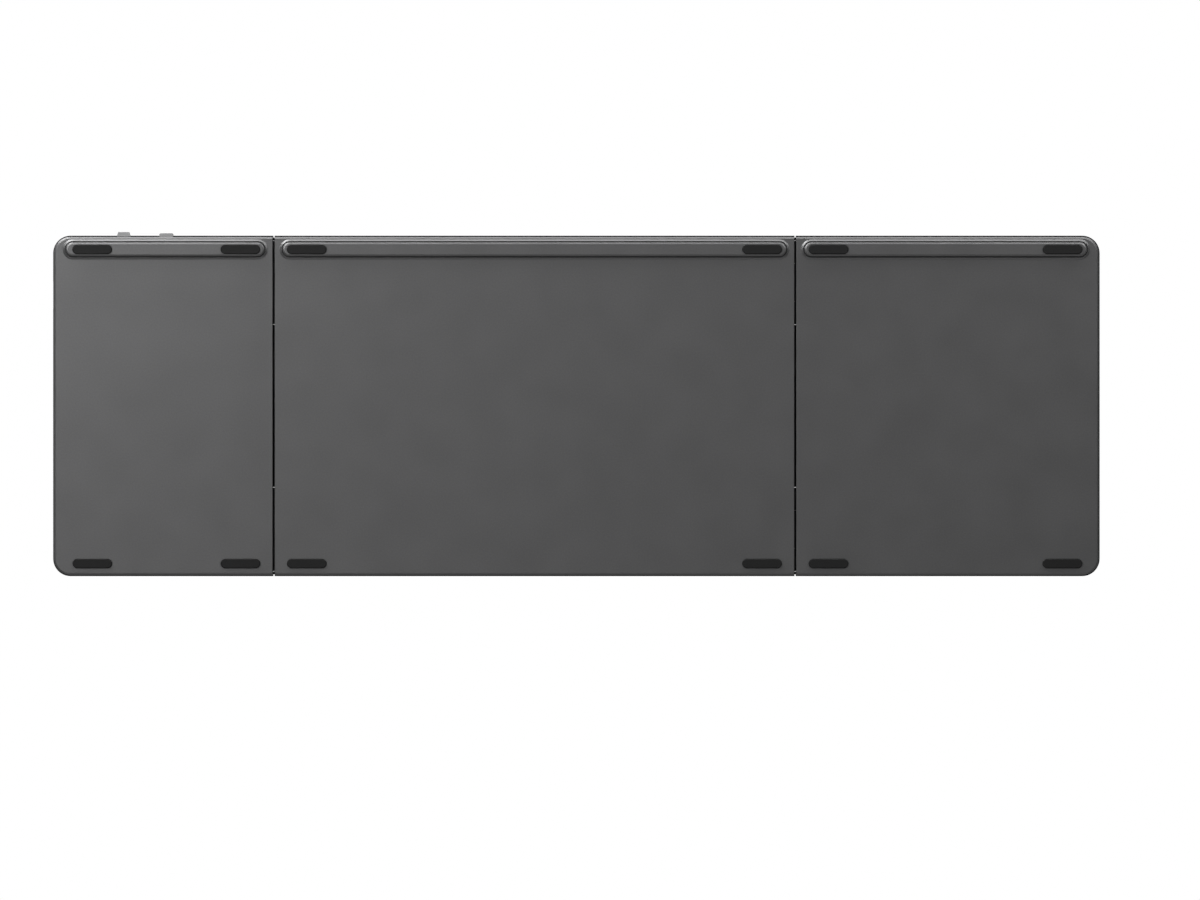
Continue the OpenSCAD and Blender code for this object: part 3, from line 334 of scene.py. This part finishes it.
finishes = {
    "cover": {
        "color": (0.2, 0.2, 0.202), "spread": 0.1, "roughness": (0.415, 0.445), "metallic": 0.85,
        "grainSize": 0.45, "cloudSize": 12, "grainShare": 1.4, "cloudShare": 0.45,
        "bump": 0.12, "bumpDepth": 0.02, "edge": 0.12,
        # painted shade: the cover's upright walls are painted dark and dull, so that the lamps from below don't
        # turn them white
        "wall": {"color": (0.03, 0.03, 0.031), "roughness": 0.75},
    },
    "frame": {
        "color": (0.016, 0.016, 0.017), "spread": 0.12, "roughness": (0.46, 0.56),
        "grainSize": 0.35, "bump": 0.35, "bumpDepth": 0.02, "bumpFrom": "Speckle",
        "edge": 0.12, "edgeColor": (0.026, 0.026, 0.027),
    },
    "keycap": {
        "color": (0.024, 0.024, 0.026), "spread": 0.12, "roughness": (0.42, 0.52),
        "grainSize": 0.25, "bump": 0.3, "bumpDepth": 0.012, "bumpFrom": "Speckle",
        "edge": 0.12, "edgeColor": (0.042, 0.042, 0.044),
    },
    "foot": {
        "color": (0.013, 0.013, 0.013), "spread": 0.25, "roughness": (0.7, 0.82),
        "grainSize": 0.3, "bump": 0.5, "bumpDepth": 0.03, "specular": 0.35,
    },
    "screw": {
        "color": (0.5, 0.5, 0.52), "spread": 0.1, "roughness": (0.28, 0.4), "metallic": 1.0,
        "grainSize": 0.2, "bump": 0.1,
    },
    "hinge_leaf": {
        "color": (0.09, 0.09, 0.093), "spread": 0.15, "roughness": (0.32, 0.44), "metallic": 0.85,
        "grainSize": 0.3, "bump": 0.15, "bumpDepth": 0.01,
    },
    "pin": {
        "color": (0.55, 0.55, 0.56), "spread": 0.08, "roughness": (0.22, 0.3), "metallic": 1.0,
        "grainSize": 0.2, "bump": 0.08,
    },
    "base_plate": {
        "color": (0.42, 0.42, 0.43), "spread": 0.08, "roughness": (0.35, 0.45), "metallic": 1.0,
        "grainSize": 0.4, "bump": 0.1,
    },
    "dome": {
        "color": (0.55, 0.55, 0.52), "spread": 0.08, "roughness": (0.45, 0.6),
        "grainSize": 0.5, "bump": 0.1,
    },
    "scissor": {
        "color": (0.7, 0.7, 0.68), "spread": 0.05, "roughness": (0.4, 0.5),
        "grainSize": 0.4, "bump": 0.1,
    },
    "touchpad": {
        "color": (0.032, 0.032, 0.034), "spread": 0.08, "roughness": (0.28, 0.36),
        "grainSize": 0.18, "bump": 0.15, "bumpDepth": 0.006,
    },
    "battery": {
        "color": (0.45, 0.46, 0.48), "spread": 0.1, "roughness": (0.3, 0.45), "metallic": 0.8,
        "grainSize": 1.5, "bump": 0.3,
    },
    "board": {
        "color": (0.012, 0.07, 0.035), "spread": 0.2, "roughness": (0.3, 0.4),
        "grainSize": 0.6, "bump": 0.2,
    },
    "socket": {
        "color": (0.26, 0.26, 0.265), "spread": 0.08, "roughness": (0.3, 0.4), "metallic": 1.0,
        "grainSize": 0.2, "bump": 0.1,
    },
    "knob": {
        "color": (0.42, 0.42, 0.425), "spread": 0.1, "roughness": (0.38, 0.48), "metallic": 0.85,
        "grainSize": 0.25, "bump": 0.25, "bumpDepth": 0.01,
        "edge": 0.22, "edgeColor": (0.03, 0.03, 0.031),
        # painted shade: the knob's upright walls are painted darker and non-metal, so that the lamps don't turn
        # them white
        "wall": {"color": (0.075, 0.075, 0.077), "roughness": 0.5},
    },
    "ribbon": {
        "color": (0.02, 0.017, 0.013), "spread": 0.2, "roughness": (0.35, 0.45),
        "grainSize": 0.8, "bump": 0.15,
    },
    "legend": {
        "color": (0.72, 0.72, 0.7), "spread": 0.05, "roughness": (0.45, 0.55),
        "grainSize": 0.2, "bump": 0.1, "bumpDepth": 0.005,
    },
    "lamp": {
        "color": (0.35, 0.42, 0.4), "spread": 0.05, "roughness": (0.15, 0.2),
        "grainSize": 0.5, "bump": 0.05,
    },
}
materials = {name: makeFinish(name, look) for name, look in finishes.items()}
slotOf = {part["node"]: part["material_slot"] for part in frame["record"]["subparts"]}
for name, obj in nodes.items():
    finish = materials[slotOf[name]]
    if obj.material_slots:
        for place in obj.material_slots:
            place.material = finish
    else:
        obj.data.materials.append(finish)
print("finishes set:", len(materials))

# Places taken from the frame

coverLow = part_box("middle_bottom_cover")[0]
frameLow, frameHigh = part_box("middle_top_frame")
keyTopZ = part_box("key_middle_space")[1].z
joints = {joint["name"]: joint for joint in frame["joints"]}

# Legends on the keys

legend = {
    "letterSize": 4.3,
    "digitSize": 3.3,
    "signSize": 2.9,
    "wordSize": 2.5,
    "signShift": 0.17,  # of the key's depth, up for the sign and down for the digit
    "arrowRadius": 1.5,
    "arrowRound": 0.25,
    "drawnAbove": 2.0,  # the flat words lie this far over the caps before they are pressed on
    "raise": 0.025,
    "thickness": 0.03,
    "resolution": 3,
}
leftRows = [
    ["Esc", ("1", "!"), ("2", "@"), ("3", "#"), ("4", "$")],
    ["Tab", "Q", "W", "E", "R"],
    ["Caps", "A", "S", "D", "F"],
    ["Shift", "Z", "X", "C", "V"],
    ["Fn", "Ctrl", "Sys", "Alt", ""],
]
middleRows = [
    [("5", "%"), ("6", "^"), ("7", "&"), ("8", "*"), ("9", "("), ("0", ")"), ("-", "_"), ("=", "+"), "Back"],
    ["T", "Y", "U", "I", "O", "P", ("[", "{"), ("]", "}"), ("\\", "|")],
    ["G", "H", "J", "K", "L", (";", ":"), ("'", '"'), "Enter"],
    ["B", "N", "M", (",", "<"), (".", ">"), ("/", "?"), "Shift", "up", "Del"],
    ["", "Alt", "left", "down", "right"],
]
keyUnits = {"Enter": 2.0}
spaceRowUnits = {"": 4.5, "Alt": 1.5}  # the middle panel's lowest row, where the long space stands unmarked
arrowTurn = {"up": 0.0, "left": 90.0, "down": 180.0, "right": 270.0}


def overKeys(x, y):
    return (x, y, keyTopZ + legend["drawnAbove"] * mm)


def writeText(body, size, x, y):
    # one flat word in the plane above the keys
    deselectAll()
    bpy.ops.object.text_add(location=overKeys(x, y))
    obj = bpy.context.object
    obj.data.body = body
    obj.data.size = size * mm
    obj.data.align_x = "CENTER"
    obj.data.align_y = "CENTER"
    obj.data.resolution_u = legend["resolution"]
    bpy.ops.object.convert(target="MESH")
    return bpy.context.object


def drawArrow(turn, x, y):
    deselectAll()
    bpy.ops.mesh.primitive_circle_add(
        vertices=3, radius=legend["arrowRadius"] * mm, fill_type="NGON",
        location=overKeys(x, y), rotation=(0, 0, math.radians(turn)),
    )
    bpy.ops.object.mode_set(mode="EDIT")
    bpy.ops.mesh.select_all(action="SELECT")
    bpy.ops.mesh.subdivide(number_cuts=3)
    bpy.ops.mesh.bevel(offset=legend["arrowRound"] * mm, segments=2, affect="VERTICES")
    bpy.ops.object.mode_set(mode="OBJECT")
    return bpy.context.object


def joinAll(parts):
    deselectAll()
    for part in parts:
        part.select_set(True)
    bpy.context.view_layer.objects.active = parts[0]
    if len(parts) > 1:
        bpy.ops.object.join()
    return bpy.context.object


def pressOnto(obj, cap):
    # lays the flat letters on the cap's dished top and gives them the thickness of ink
    wrap = obj.modifiers.new("wrap", "SHRINKWRAP")
    wrap.target = cap
    wrap.wrap_method = "PROJECT"
    wrap.use_project_z = True
    wrap.use_negative_direction = True
    wrap.use_positive_direction = False
    wrap.offset = legend["raise"] * mm
    thick = obj.modifiers.new("ink", "SOLIDIFY")
    thick.thickness = legend["thickness"] * mm
    thick.offset = -1
    applyModifiers(obj)


def legendParts(text, x, y, pitchY):
    if isinstance(text, tuple):
        digit, sign = text
        shift = legend["signShift"] * pitchY
        return [
            writeText(sign, legend["signSize"], x, y + shift),
            writeText(digit, legend["digitSize"], x, y - shift),
        ]
    if text in arrowTurn:
        return [drawArrow(arrowTurn[text], x, y)]
    size = legend["letterSize"] if len(text) == 1 else legend["wordSize"]
    return [writeText(text, size, x, y)]


def letterKey(text):
    # the node of a letter's own key, or None
    name = "key_" + text.lower() if isinstance(text, str) and len(text) == 1 else None
    return name if name in nodes else None


def unitsOf(rows, r, text):
    # how many key widths a legend's key takes up
    if rows is middleRows and r == len(middleRows) - 1:
        return spaceRowUnits.get(text, 1.0)
    return keyUnits.get(text, 1.0) if isinstance(text, str) else 1.0


def drawLegends(rows, xStart, pitchX, yTop, pitchY, bankOf):
    count = 0
    for r, row in enumerate(rows):
        column = 0.0
        for text in row:
            units = unitsOf(rows, r, text)
            x = xStart + (column + units / 2) * pitchX
            y = yTop - (r + 0.5) * pitchY
            column += units
            if text == "":
                continue
            cap = letterKey(text) or bankOf(r)
            obj = joinAll(legendParts(text, x, y, pitchY))
            settle(obj)
            pressOnto(obj, nodes[cap])
            word = text[0] if isinstance(text, tuple) else text
            plain = "".join(c if c.isalnum() else "sign%d" % ord(c) for c in word)
            name = "legend_%s_%d_%s" % (cap, r, plain)
            finishPiece(obj, name, materials["legend"], cap)
            count += 1
    return count


def middleOf(node):
    low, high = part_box(node)
    return (low + high) / 2


# the pitch is read from two neighbouring keys of a row, and two of a column;
# Q is the second key of the left panel's second row, and T the first of the middle's
leftPitch = middleOf("key_w").x - middleOf("key_q").x
middlePitch = middleOf("key_y").x - middleOf("key_t").x
rowPitch = middleOf("key_q").y - middleOf("key_a").y
leftStart = middleOf("key_q").x - 1.5 * leftPitch
middleStart = middleOf("key_t").x - 0.5 * middlePitch
rowTop = middleOf("key_q").y + 1.5 * rowPitch
made = drawLegends(leftRows, leftStart, leftPitch, rowTop, rowPitch, lambda r: "left_side_keys")
made += drawLegends(
    middleRows, middleStart, middlePitch, rowTop, rowPitch,
    lambda r: "middle_number_keys" if r == 0 else "middle_side_keys",
)
print("legends on the keys:", made)

# Homing bars on the two keys where the forefingers rest

homing = {
    "length": 3.2, "width": 0.5, "height": 0.22,
    "fromFront": 2.6, "bevel": 0.2, "sink": 0.16, "smoothUpTo": 40,
}


def makeHomingBar(cap):
    low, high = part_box(cap)
    x = (low.x + high.x) / 2
    y = low.y + homing["fromFront"] * mm
    deselectAll()
    bpy.ops.mesh.primitive_cube_add(size=1, location=(x, y, high.z - homing["sink"] * mm))
    obj = bpy.context.object
    obj.scale = (homing["length"] * mm, homing["width"] * mm, homing["height"] * mm)
    settle(obj)
    bevel = obj.modifiers.new("bevel", "BEVEL")
    bevel.width = homing["bevel"] * mm
    bevel.segments = 3
    applyModifiers(obj)
    bpy.ops.object.shade_smooth_by_angle(angle=math.radians(homing["smoothUpTo"]))
    return finishPiece(obj, "homing_bar_" + cap, materials["keycap"], cap)


for cap in ("key_f", "key_j"):
    makeHomingBar(cap)
print("homing bars made")

# Three indicator lenses beside the touchpad, each with its sign

indicator = {
    "inset": (4.0, 5.0),  # first lens from the board's left end, and from its rear edge
    "pitch": 4.0,
    "radius": 0.47,
    "height": 0.5,
    "proud": 0.03,
    "signAbove": 1.9,
    "signs": ("A", "battery", "link"),
    "letterSize": 1.7,
    "dome": 0.12,
    "vertices": 32,
    "smoothUpTo": 50,
    "line": 0.16,
    "ringRadius": 0.5,
    "ringShift": 0.35,
    "ringVertices": 24,
    "cell": (1.5, 0.8),
    "cellShift": -0.1,
    "cellTip": (0.2, 0.4),
    "tipShift": 0.8,
}
boardLow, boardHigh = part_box("main_board")


def makeLens(x, y, name):
    # a short rod of clear plastic with a domed end
    deselectAll()
    depth = indicator["height"] * mm
    bpy.ops.mesh.primitive_cylinder_add(
        vertices=indicator["vertices"], radius=indicator["radius"] * mm, depth=depth,
        location=(x, y, boardHigh.z + indicator["proud"] * mm - depth / 2),
    )
    obj = bpy.context.object
    settle(obj)
    dome = obj.modifiers.new("dome", "BEVEL")
    dome.width = indicator["dome"] * mm
    dome.segments = 4
    dome.limit_method = "ANGLE"
    applyModifiers(obj)
    bpy.ops.object.shade_smooth_by_angle(angle=math.radians(indicator["smoothUpTo"]))
    return finishPiece(obj, name, materials["lamp"], "right_wing")


def ringSign(x, y):
    # a flat ring, from a disc inset once with its middle taken out
    deselectAll()
    bpy.ops.mesh.primitive_circle_add(
        vertices=indicator["ringVertices"], radius=indicator["ringRadius"] * mm,
        fill_type="NGON", location=(x, y, boardHigh.z + mm),
    )
    obj = bpy.context.object
    bpy.ops.object.mode_set(mode="EDIT")
    bpy.ops.mesh.select_all(action="SELECT")
    bpy.ops.mesh.inset(thickness=indicator["line"] * mm, depth=0)
    bpy.ops.mesh.delete(type="FACE")
    bpy.ops.object.mode_set(mode="OBJECT")
    return obj


def plateSign(size, x, y):
    # a flat plate with points along its sides, so that it can follow what it is pressed on
    deselectAll()
    bpy.ops.mesh.primitive_plane_add(size=1, location=(x, y, boardHigh.z + mm))
    obj = bpy.context.object
    obj.scale = (size[0] * mm, size[1] * mm, 1)
    bpy.ops.object.transform_apply(location=False, rotation=False, scale=True)
    bpy.ops.object.mode_set(mode="EDIT")
    bpy.ops.mesh.subdivide(number_cuts=1)
    bpy.ops.object.mode_set(mode="OBJECT")
    return obj


def makeSign(kind, x, y, index):
    if kind == "battery":
        parts = [
            plateSign(indicator["cell"], x + indicator["cellShift"] * mm, y),
            plateSign(indicator["cellTip"], x + indicator["tipShift"] * mm, y),
        ]
    elif kind == "link":
        shift = indicator["ringShift"] * mm
        parts = [ringSign(x - shift, y), ringSign(x + shift, y)]
    else:
        parts = [writeText(kind, indicator["letterSize"], x, y)]
    obj = joinAll(parts)
    settle(obj)
    pressOnto(obj, nodes["right_top_frame"])
    return finishPiece(obj, "sign_%d" % index, materials["legend"], "right_wing")


for i, kind in enumerate(indicator["signs"]):
    lensX = boardLow.x + (indicator["inset"][0] + i * indicator["pitch"]) * mm
    lensY = boardHigh.y - indicator["inset"][1] * mm
    makeLens(lensX, lensY, "indicator_lens_%d" % (i + 1))
    makeSign(kind, lensX, lensY + indicator["signAbove"] * mm, i + 1)
print("indicator lenses made:", len(indicator["signs"]))

# Ribbons that cross the seams, bent between the two panels

ribbon = {
    "thickness": 0.15,
    "width": 8.0,
    "fromMiddle": 12.0,  # towards the rear
    "turn": 1.75,  # from the hinge's axis to where the ribbon rises out of a panel
    "run": 8.0,  # from the axis to its end inside a panel
    "channel": 0.25,  # how much higher it lies in the right wing
    "bend": 1.6,
    "steps": 28,
    "smoothUpTo": 40,
    "pinched": 1e-6,  # the width of the plane that is merged into a first edge
}
ribbonLow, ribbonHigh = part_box("flex_ribbons")


def makeRibbon(name, wing, jointName, side):
    axisX = joints[jointName]["pos_m"][0]
    crossZ = ribbonHigh.z - ribbon["thickness"] / 2 * mm
    lowZ = ribbonLow.z + ribbon["thickness"] / 2 * mm
    wingLowZ = lowZ if wing == "left_wing" else lowZ + ribbon["channel"] * mm
    turn = ribbon["turn"] * mm
    run = ribbon["run"] * mm
    yMiddle = (frameLow.y + frameHigh.y) / 2 + ribbon["fromMiddle"] * mm
    route = [(-run, lowZ), (-turn, lowZ), (-turn, crossZ)]
    route += [(-turn + 2 * turn * i / ribbon["steps"], crossZ) for i in range(1, ribbon["steps"])]
    route += [(turn, crossZ), (turn, wingLowZ), (run, wingLowZ)]
    deselectAll()
    bpy.ops.mesh.primitive_plane_add(size=1, location=(axisX - side * run, yMiddle, lowZ))
    obj = bpy.context.object
    obj.scale = (ribbon["pinched"], ribbon["width"] * mm, 1)
    bpy.ops.object.transform_apply(location=False, rotation=False, scale=True)
    bpy.ops.object.mode_set(mode="EDIT")
    bpy.ops.mesh.select_all(action="SELECT")
    bpy.ops.mesh.remove_doubles(threshold=10 * ribbon["pinched"])
    bpy.ops.mesh.select_all(action="SELECT")
    for (x, z), (nextX, nextZ) in zip(route, route[1:]):
        step = (side * (nextX - x), 0, nextZ - z)
        bpy.ops.mesh.extrude_region_move(TRANSFORM_OT_translate={"value": step})
    bpy.ops.object.mode_set(mode="OBJECT")
    settle(obj)
    thick = obj.modifiers.new("thick", "SOLIDIFY")
    thick.thickness = ribbon["thickness"] * mm
    thick.offset = 0
    applyModifiers(obj)
    bpy.ops.object.shade_smooth_by_angle(angle=math.radians(ribbon["smoothUpTo"]))
    finishPiece(obj, name, materials["ribbon"], None)
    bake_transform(obj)
    return obj


ribbons = [
    makeRibbon("left_ribbon", "left_wing", "fold_left_wing", -1),
    makeRibbon("right_ribbon", "right_wing", "fold_right_wing", 1),
]
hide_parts("flex_ribbons")
print("ribbons made")

# Domes and scissor links, joined into one piece under each key or bank that they lift

lifting = {
    "sheet": 0.2,  # the silicone sheet's thickness, from the base plate's top
    "cut": 0.02,  # how far above its sheet a dome is cut off
    "cutWithin": 1e-4,  # a point this near the cut lies on it
    "keep": 0.45,  # of the height, when the key is down
    "together": 0.001,  # points nearer than this become one
    "smoothUpTo": 30,
}
letterCaps = [name for name in nodes if name.startswith("key_")]
banks = ["middle_number_keys", "middle_side_keys", "left_side_keys"]
capBoxes = {cap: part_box(cap) for cap in letterCaps + banks}


def copyOfNode(node):
    # the node's solid as a mesh of its own, its loose triangles joined
    obj = bpy.data.objects.new(node + "_copy", nodes[node].data.copy())
    bpy.context.collection.objects.link(obj)
    pick(obj)
    bpy.ops.object.mode_set(mode="EDIT")
    bpy.ops.mesh.select_all(action="SELECT")
    bpy.ops.mesh.remove_doubles(threshold=lifting["together"] * mm)
    bpy.ops.object.mode_set(mode="OBJECT")
    return obj


def cutAt(obj, z, keepUpper):
    # takes away what is below a level, or above it, and closes the cut
    pick(obj)
    bpy.ops.object.mode_set(mode="EDIT")
    bpy.ops.mesh.select_all(action="SELECT")
    bpy.ops.mesh.bisect(
        plane_co=(0, 0, z), plane_no=(0, 0, 1), use_fill=True,
        clear_inner=keepUpper, clear_outer=not keepUpper, threshold=lifting["cutWithin"] * mm,
    )
    bpy.ops.object.mode_set(mode="OBJECT")
    return obj


def looseParts(obj):
    pick(obj)
    bpy.ops.mesh.separate(type="LOOSE")
    return list(bpy.context.selected_objects)


def capOver(part):
    # a letter's own key first, because the boxes of the banks reach round the letters
    corners = [Vector(corner) for corner in part.bound_box]
    middle = sum(corners, Vector()) / len(corners)
    for cap, (low, high) in capBoxes.items():
        if low.x < middle.x < high.x and low.y < middle.y < high.y:
            return cap


def makeLifters(node, word, body, parts):
    # one piece for all that a key or bank presses on
    groups = {}
    for part in parts:
        groups.setdefault(capOver(part), []).append(part)
    for cap, group in sorted(groups.items()):
        obj = joinAll(group)
        bpy.ops.object.shade_smooth_by_angle(angle=math.radians(lifting["smoothUpTo"]))
        finishPiece(obj, word + "_" + cap, materials[slotOf[node]], body)
        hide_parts(node)
        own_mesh(obj)
    return len(groups)


def makeUnderKeys(side, body):
    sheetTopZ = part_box(side + "_base_plate")[1].z + lifting["sheet"] * mm
    cutZ = sheetTopZ + lifting["cut"] * mm
    domeNode = side + "_dome_sheet"
    linkNode = side + "_scissors"
    sheet = cutAt(copyOfNode(domeNode), cutZ, False)
    slotName = slotOf[domeNode]
    finishPiece(sheet, side + "_silicone_sheet", materials[slotName], body)
    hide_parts(domeNode)
    domes = looseParts(cutAt(copyOfNode(domeNode), cutZ, True))
    links = looseParts(copyOfNode(linkNode))
    count = makeLifters(domeNode, "dome", body, domes)
    count += makeLifters(linkNode, "links", body, links)
    print(side, "domes and links:", len(domes), len(links), "in", count, "pieces")


makeUnderKeys("left", "left_wing")
makeUnderKeys("middle", "middle_panel")

# Floor: a plane through both rows of feet, seen only from above

floorLook = {
    "size": 14.0,
    "color": (0.86, 0.86, 0.86, 1.0),
    "fade": (0.3, 1.5),  # from here out the paper turns into the white behind it
    "below": 0.02,  # how far the paper lies under the feet
    "footInset": 1.35,  # from a foot's edge to the middle of its face
    "footDrop": 0.5,  # from the cover to a front foot's face
}
feetLow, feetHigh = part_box("middle_feet")
frontFootZ = coverLow.z - floorLook["footDrop"] * mm
rearFootY = feetHigh.y - floorLook["footInset"] * mm
frontFootY = feetLow.y + floorLook["footInset"] * mm
slope = math.atan2(frontFootZ, rearFootY - frontFootY)


def makeFloor():
    deselectAll()
    bpy.ops.mesh.primitive_plane_add(
        size=floorLook["size"], location=(0, rearFootY, -floorLook["below"] * mm), rotation=(-slope, 0, 0),
    )
    obj = bpy.context.object
    settle(obj)
    obj.name = "floor"
    material = bpy.data.materials.new("floor")
    material.use_nodes = True
    tree = material.node_tree
    tree.nodes.remove(tree.nodes["Principled BSDF"])
    paper = tree.nodes.new("ShaderNodeBsdfDiffuse")
    paper.inputs["Color"].default_value = floorLook["color"]
    glow = tree.nodes.new("ShaderNodeEmission")
    coords = tree.nodes.new("ShaderNodeTexCoord")
    away = tree.nodes.new("ShaderNodeVectorMath")
    away.operation = "LENGTH"
    fade = tree.nodes.new("ShaderNodeMapRange")
    fade.interpolation_type = "SMOOTHSTEP"
    paperEnds, whiteStarts = floorLook["fade"]
    fade.inputs["From Min"].default_value = paperEnds
    fade.inputs["From Max"].default_value = whiteStarts
    sheet = tree.nodes.new("ShaderNodeMixShader")
    tree.links.new(coords.outputs["Object"], away.inputs[0])
    tree.links.new(away.outputs["Value"], fade.inputs["Value"])
    tree.links.new(fade.outputs["Result"], sheet.inputs["Fac"])
    tree.links.new(paper.outputs[0], sheet.inputs[1])
    tree.links.new(glow.outputs[0], sheet.inputs[2])
    clear = tree.nodes.new("ShaderNodeBsdfTransparent")
    path = tree.nodes.new("ShaderNodeLightPath")
    side = tree.nodes.new("ShaderNodeNewGeometry")
    front = tree.nodes.new("ShaderNodeMath")
    front.operation = "SUBTRACT"
    front.use_clamp = True
    tree.links.new(path.outputs["Is Camera Ray"], front.inputs[0])
    tree.links.new(side.outputs["Backfacing"], front.inputs[1])
    mix = tree.nodes.new("ShaderNodeMixShader")
    tree.links.new(front.outputs[0], mix.inputs["Fac"])
    tree.links.new(clear.outputs[0], mix.inputs[1])
    tree.links.new(sheet.outputs[0], mix.inputs[2])
    tree.links.new(mix.outputs[0], tree.nodes["Material Output"].inputs["Surface"])
    obj.data.materials.append(material)
    return obj


paperFloor = makeFloor()
print("floor made")

# World and lights

scene = bpy.context.scene
scene.view_settings.view_transform = "Standard"
scene.view_settings.look = "None"


worldLook = {"seen": 1.0, "soft": 0.175}  # strength for the camera, and for the light on the keyboard


def makeWorld():
    world = bpy.data.worlds.new("studio")
    scene.world = world
    world.use_nodes = True
    tree = world.node_tree
    seen = tree.nodes["Background"]
    soft = tree.nodes.new("ShaderNodeBackground")
    for background, strength in ((seen, worldLook["seen"]), (soft, worldLook["soft"])):
        background.inputs["Color"].default_value = (1, 1, 1, 1)
        background.inputs["Strength"].default_value = strength
    path = tree.nodes.new("ShaderNodeLightPath")
    mix = tree.nodes.new("ShaderNodeMixShader")
    tree.links.new(path.outputs["Is Camera Ray"], mix.inputs["Fac"])
    tree.links.new(soft.outputs[0], mix.inputs[1])
    tree.links.new(seen.outputs[0], mix.inputs[2])
    tree.links.new(mix.outputs[0], tree.nodes["World Output"].inputs["Surface"])


# "spares" names what a lamp from below doesn't light: the paper, or that and the dark top frames
lights = {
    "underKey": {
        "place": (0.3, 0.22, -0.3), "size": (0.25, 0.25), "power": 0.75, "spares": "floor",
    },
    "underFill": {
        "place": (0.45, 0.35, -1.0), "size": (0.7, 0.7), "power": 1.4, "spares": "floor",
    },
    "underEdge": {
        "place": (-0.1, 0.7, -0.12), "size": (1.2, 0.25), "power": 3.0, "spares": "frames",
    },
    "underCorner": {
        "place": (0.38, 0.5, -0.1), "size": (0.35, 0.25), "power": 2.2, "spares": "frames",
    },
    "underFront": {
        "place": (0.0, -0.7, -0.15), "size": (1.2, 0.25), "power": 0.35, "spares": "floor",
    },
    "underFar": {
        "place": (-0.27, 0.2, -0.15), "size": (0.15, 0.15), "power": 0.25, "spares": "frames",
    },
    "upperKey": {"place": (-1.1, -0.9, 2.0), "size": (1.2, 1.2), "power": 42.0},
    "upperFill": {"place": (1.5, 0.8, 1.8), "size": (1.8, 1.8), "power": 20.0},
}


def makeSpared(name, spared):
    # what a lamp with this collection doesn't light
    collection = bpy.data.collections.new(name)
    for obj in spared:
        collection.objects.link(obj)
    for entry in collection.collection_objects:
        entry.light_linking.link_state = "EXCLUDE"
    return collection


topFrames = [obj for name, obj in nodes.items() if name.endswith("_top_frame")]
spares = {
    "floor": makeSpared("spareFloor", [paperFloor]),
    "frames": makeSpared("spareFrames", [paperFloor] + topFrames),
}


def makeLight(name, look):
    data = bpy.data.lights.new(name, "AREA")
    data.shape = "RECTANGLE"
    data.size, data.size_y = look["size"]
    data.energy = look["power"]
    obj = bpy.data.objects.new(name, data)
    scene.collection.objects.link(obj)
    place = Vector(look["place"])
    obj.location = place
    obj.rotation_mode = "QUATERNION"
    obj.rotation_quaternion = (-place).to_track_quat("-Z", "Y")
    obj.visible_camera = False
    if "spares" in look:
        obj.light_linking.receiver_collection = spares[look["spares"]]


makeWorld()
for name, look in lights.items():
    makeLight(name, look)
print("lights set:", len(lights))

# Camera: straight up at the underside, through a long lens

photo = {
    "width": 1200.0, "height": 900.0,
    "middleX": 576.4, "middleY": 405.9,  # where the keyboard's middle lies in the picture
    "scale": 3.489,  # picture points to a millimetre
    "distance": 3.0,
    "sensor": 36.0,
    "sees": (0.01, 50.0),
}


def makeCamera():
    data = bpy.data.cameras.new("camera")
    obj = bpy.data.objects.new("camera", data)
    scene.collection.objects.link(obj)
    pointSize = mm / photo["scale"]
    data.sensor_width = photo["sensor"]
    data.lens = data.sensor_width * photo["distance"] / (photo["width"] * pointSize)
    data.clip_start, data.clip_end = photo["sees"]
    outlineY = (frameLow.y + frameHigh.y) / 2
    x = (photo["middleX"] - photo["width"] / 2) * pointSize
    y = outlineY + (photo["middleY"] - photo["height"] / 2) * pointSize
    obj.location = (x, y, frameLow.z - photo["distance"])
    obj.rotation_euler = (0, math.pi, 0)  # upright, looking up
    scene.camera = obj


makeCamera()
print("camera set")
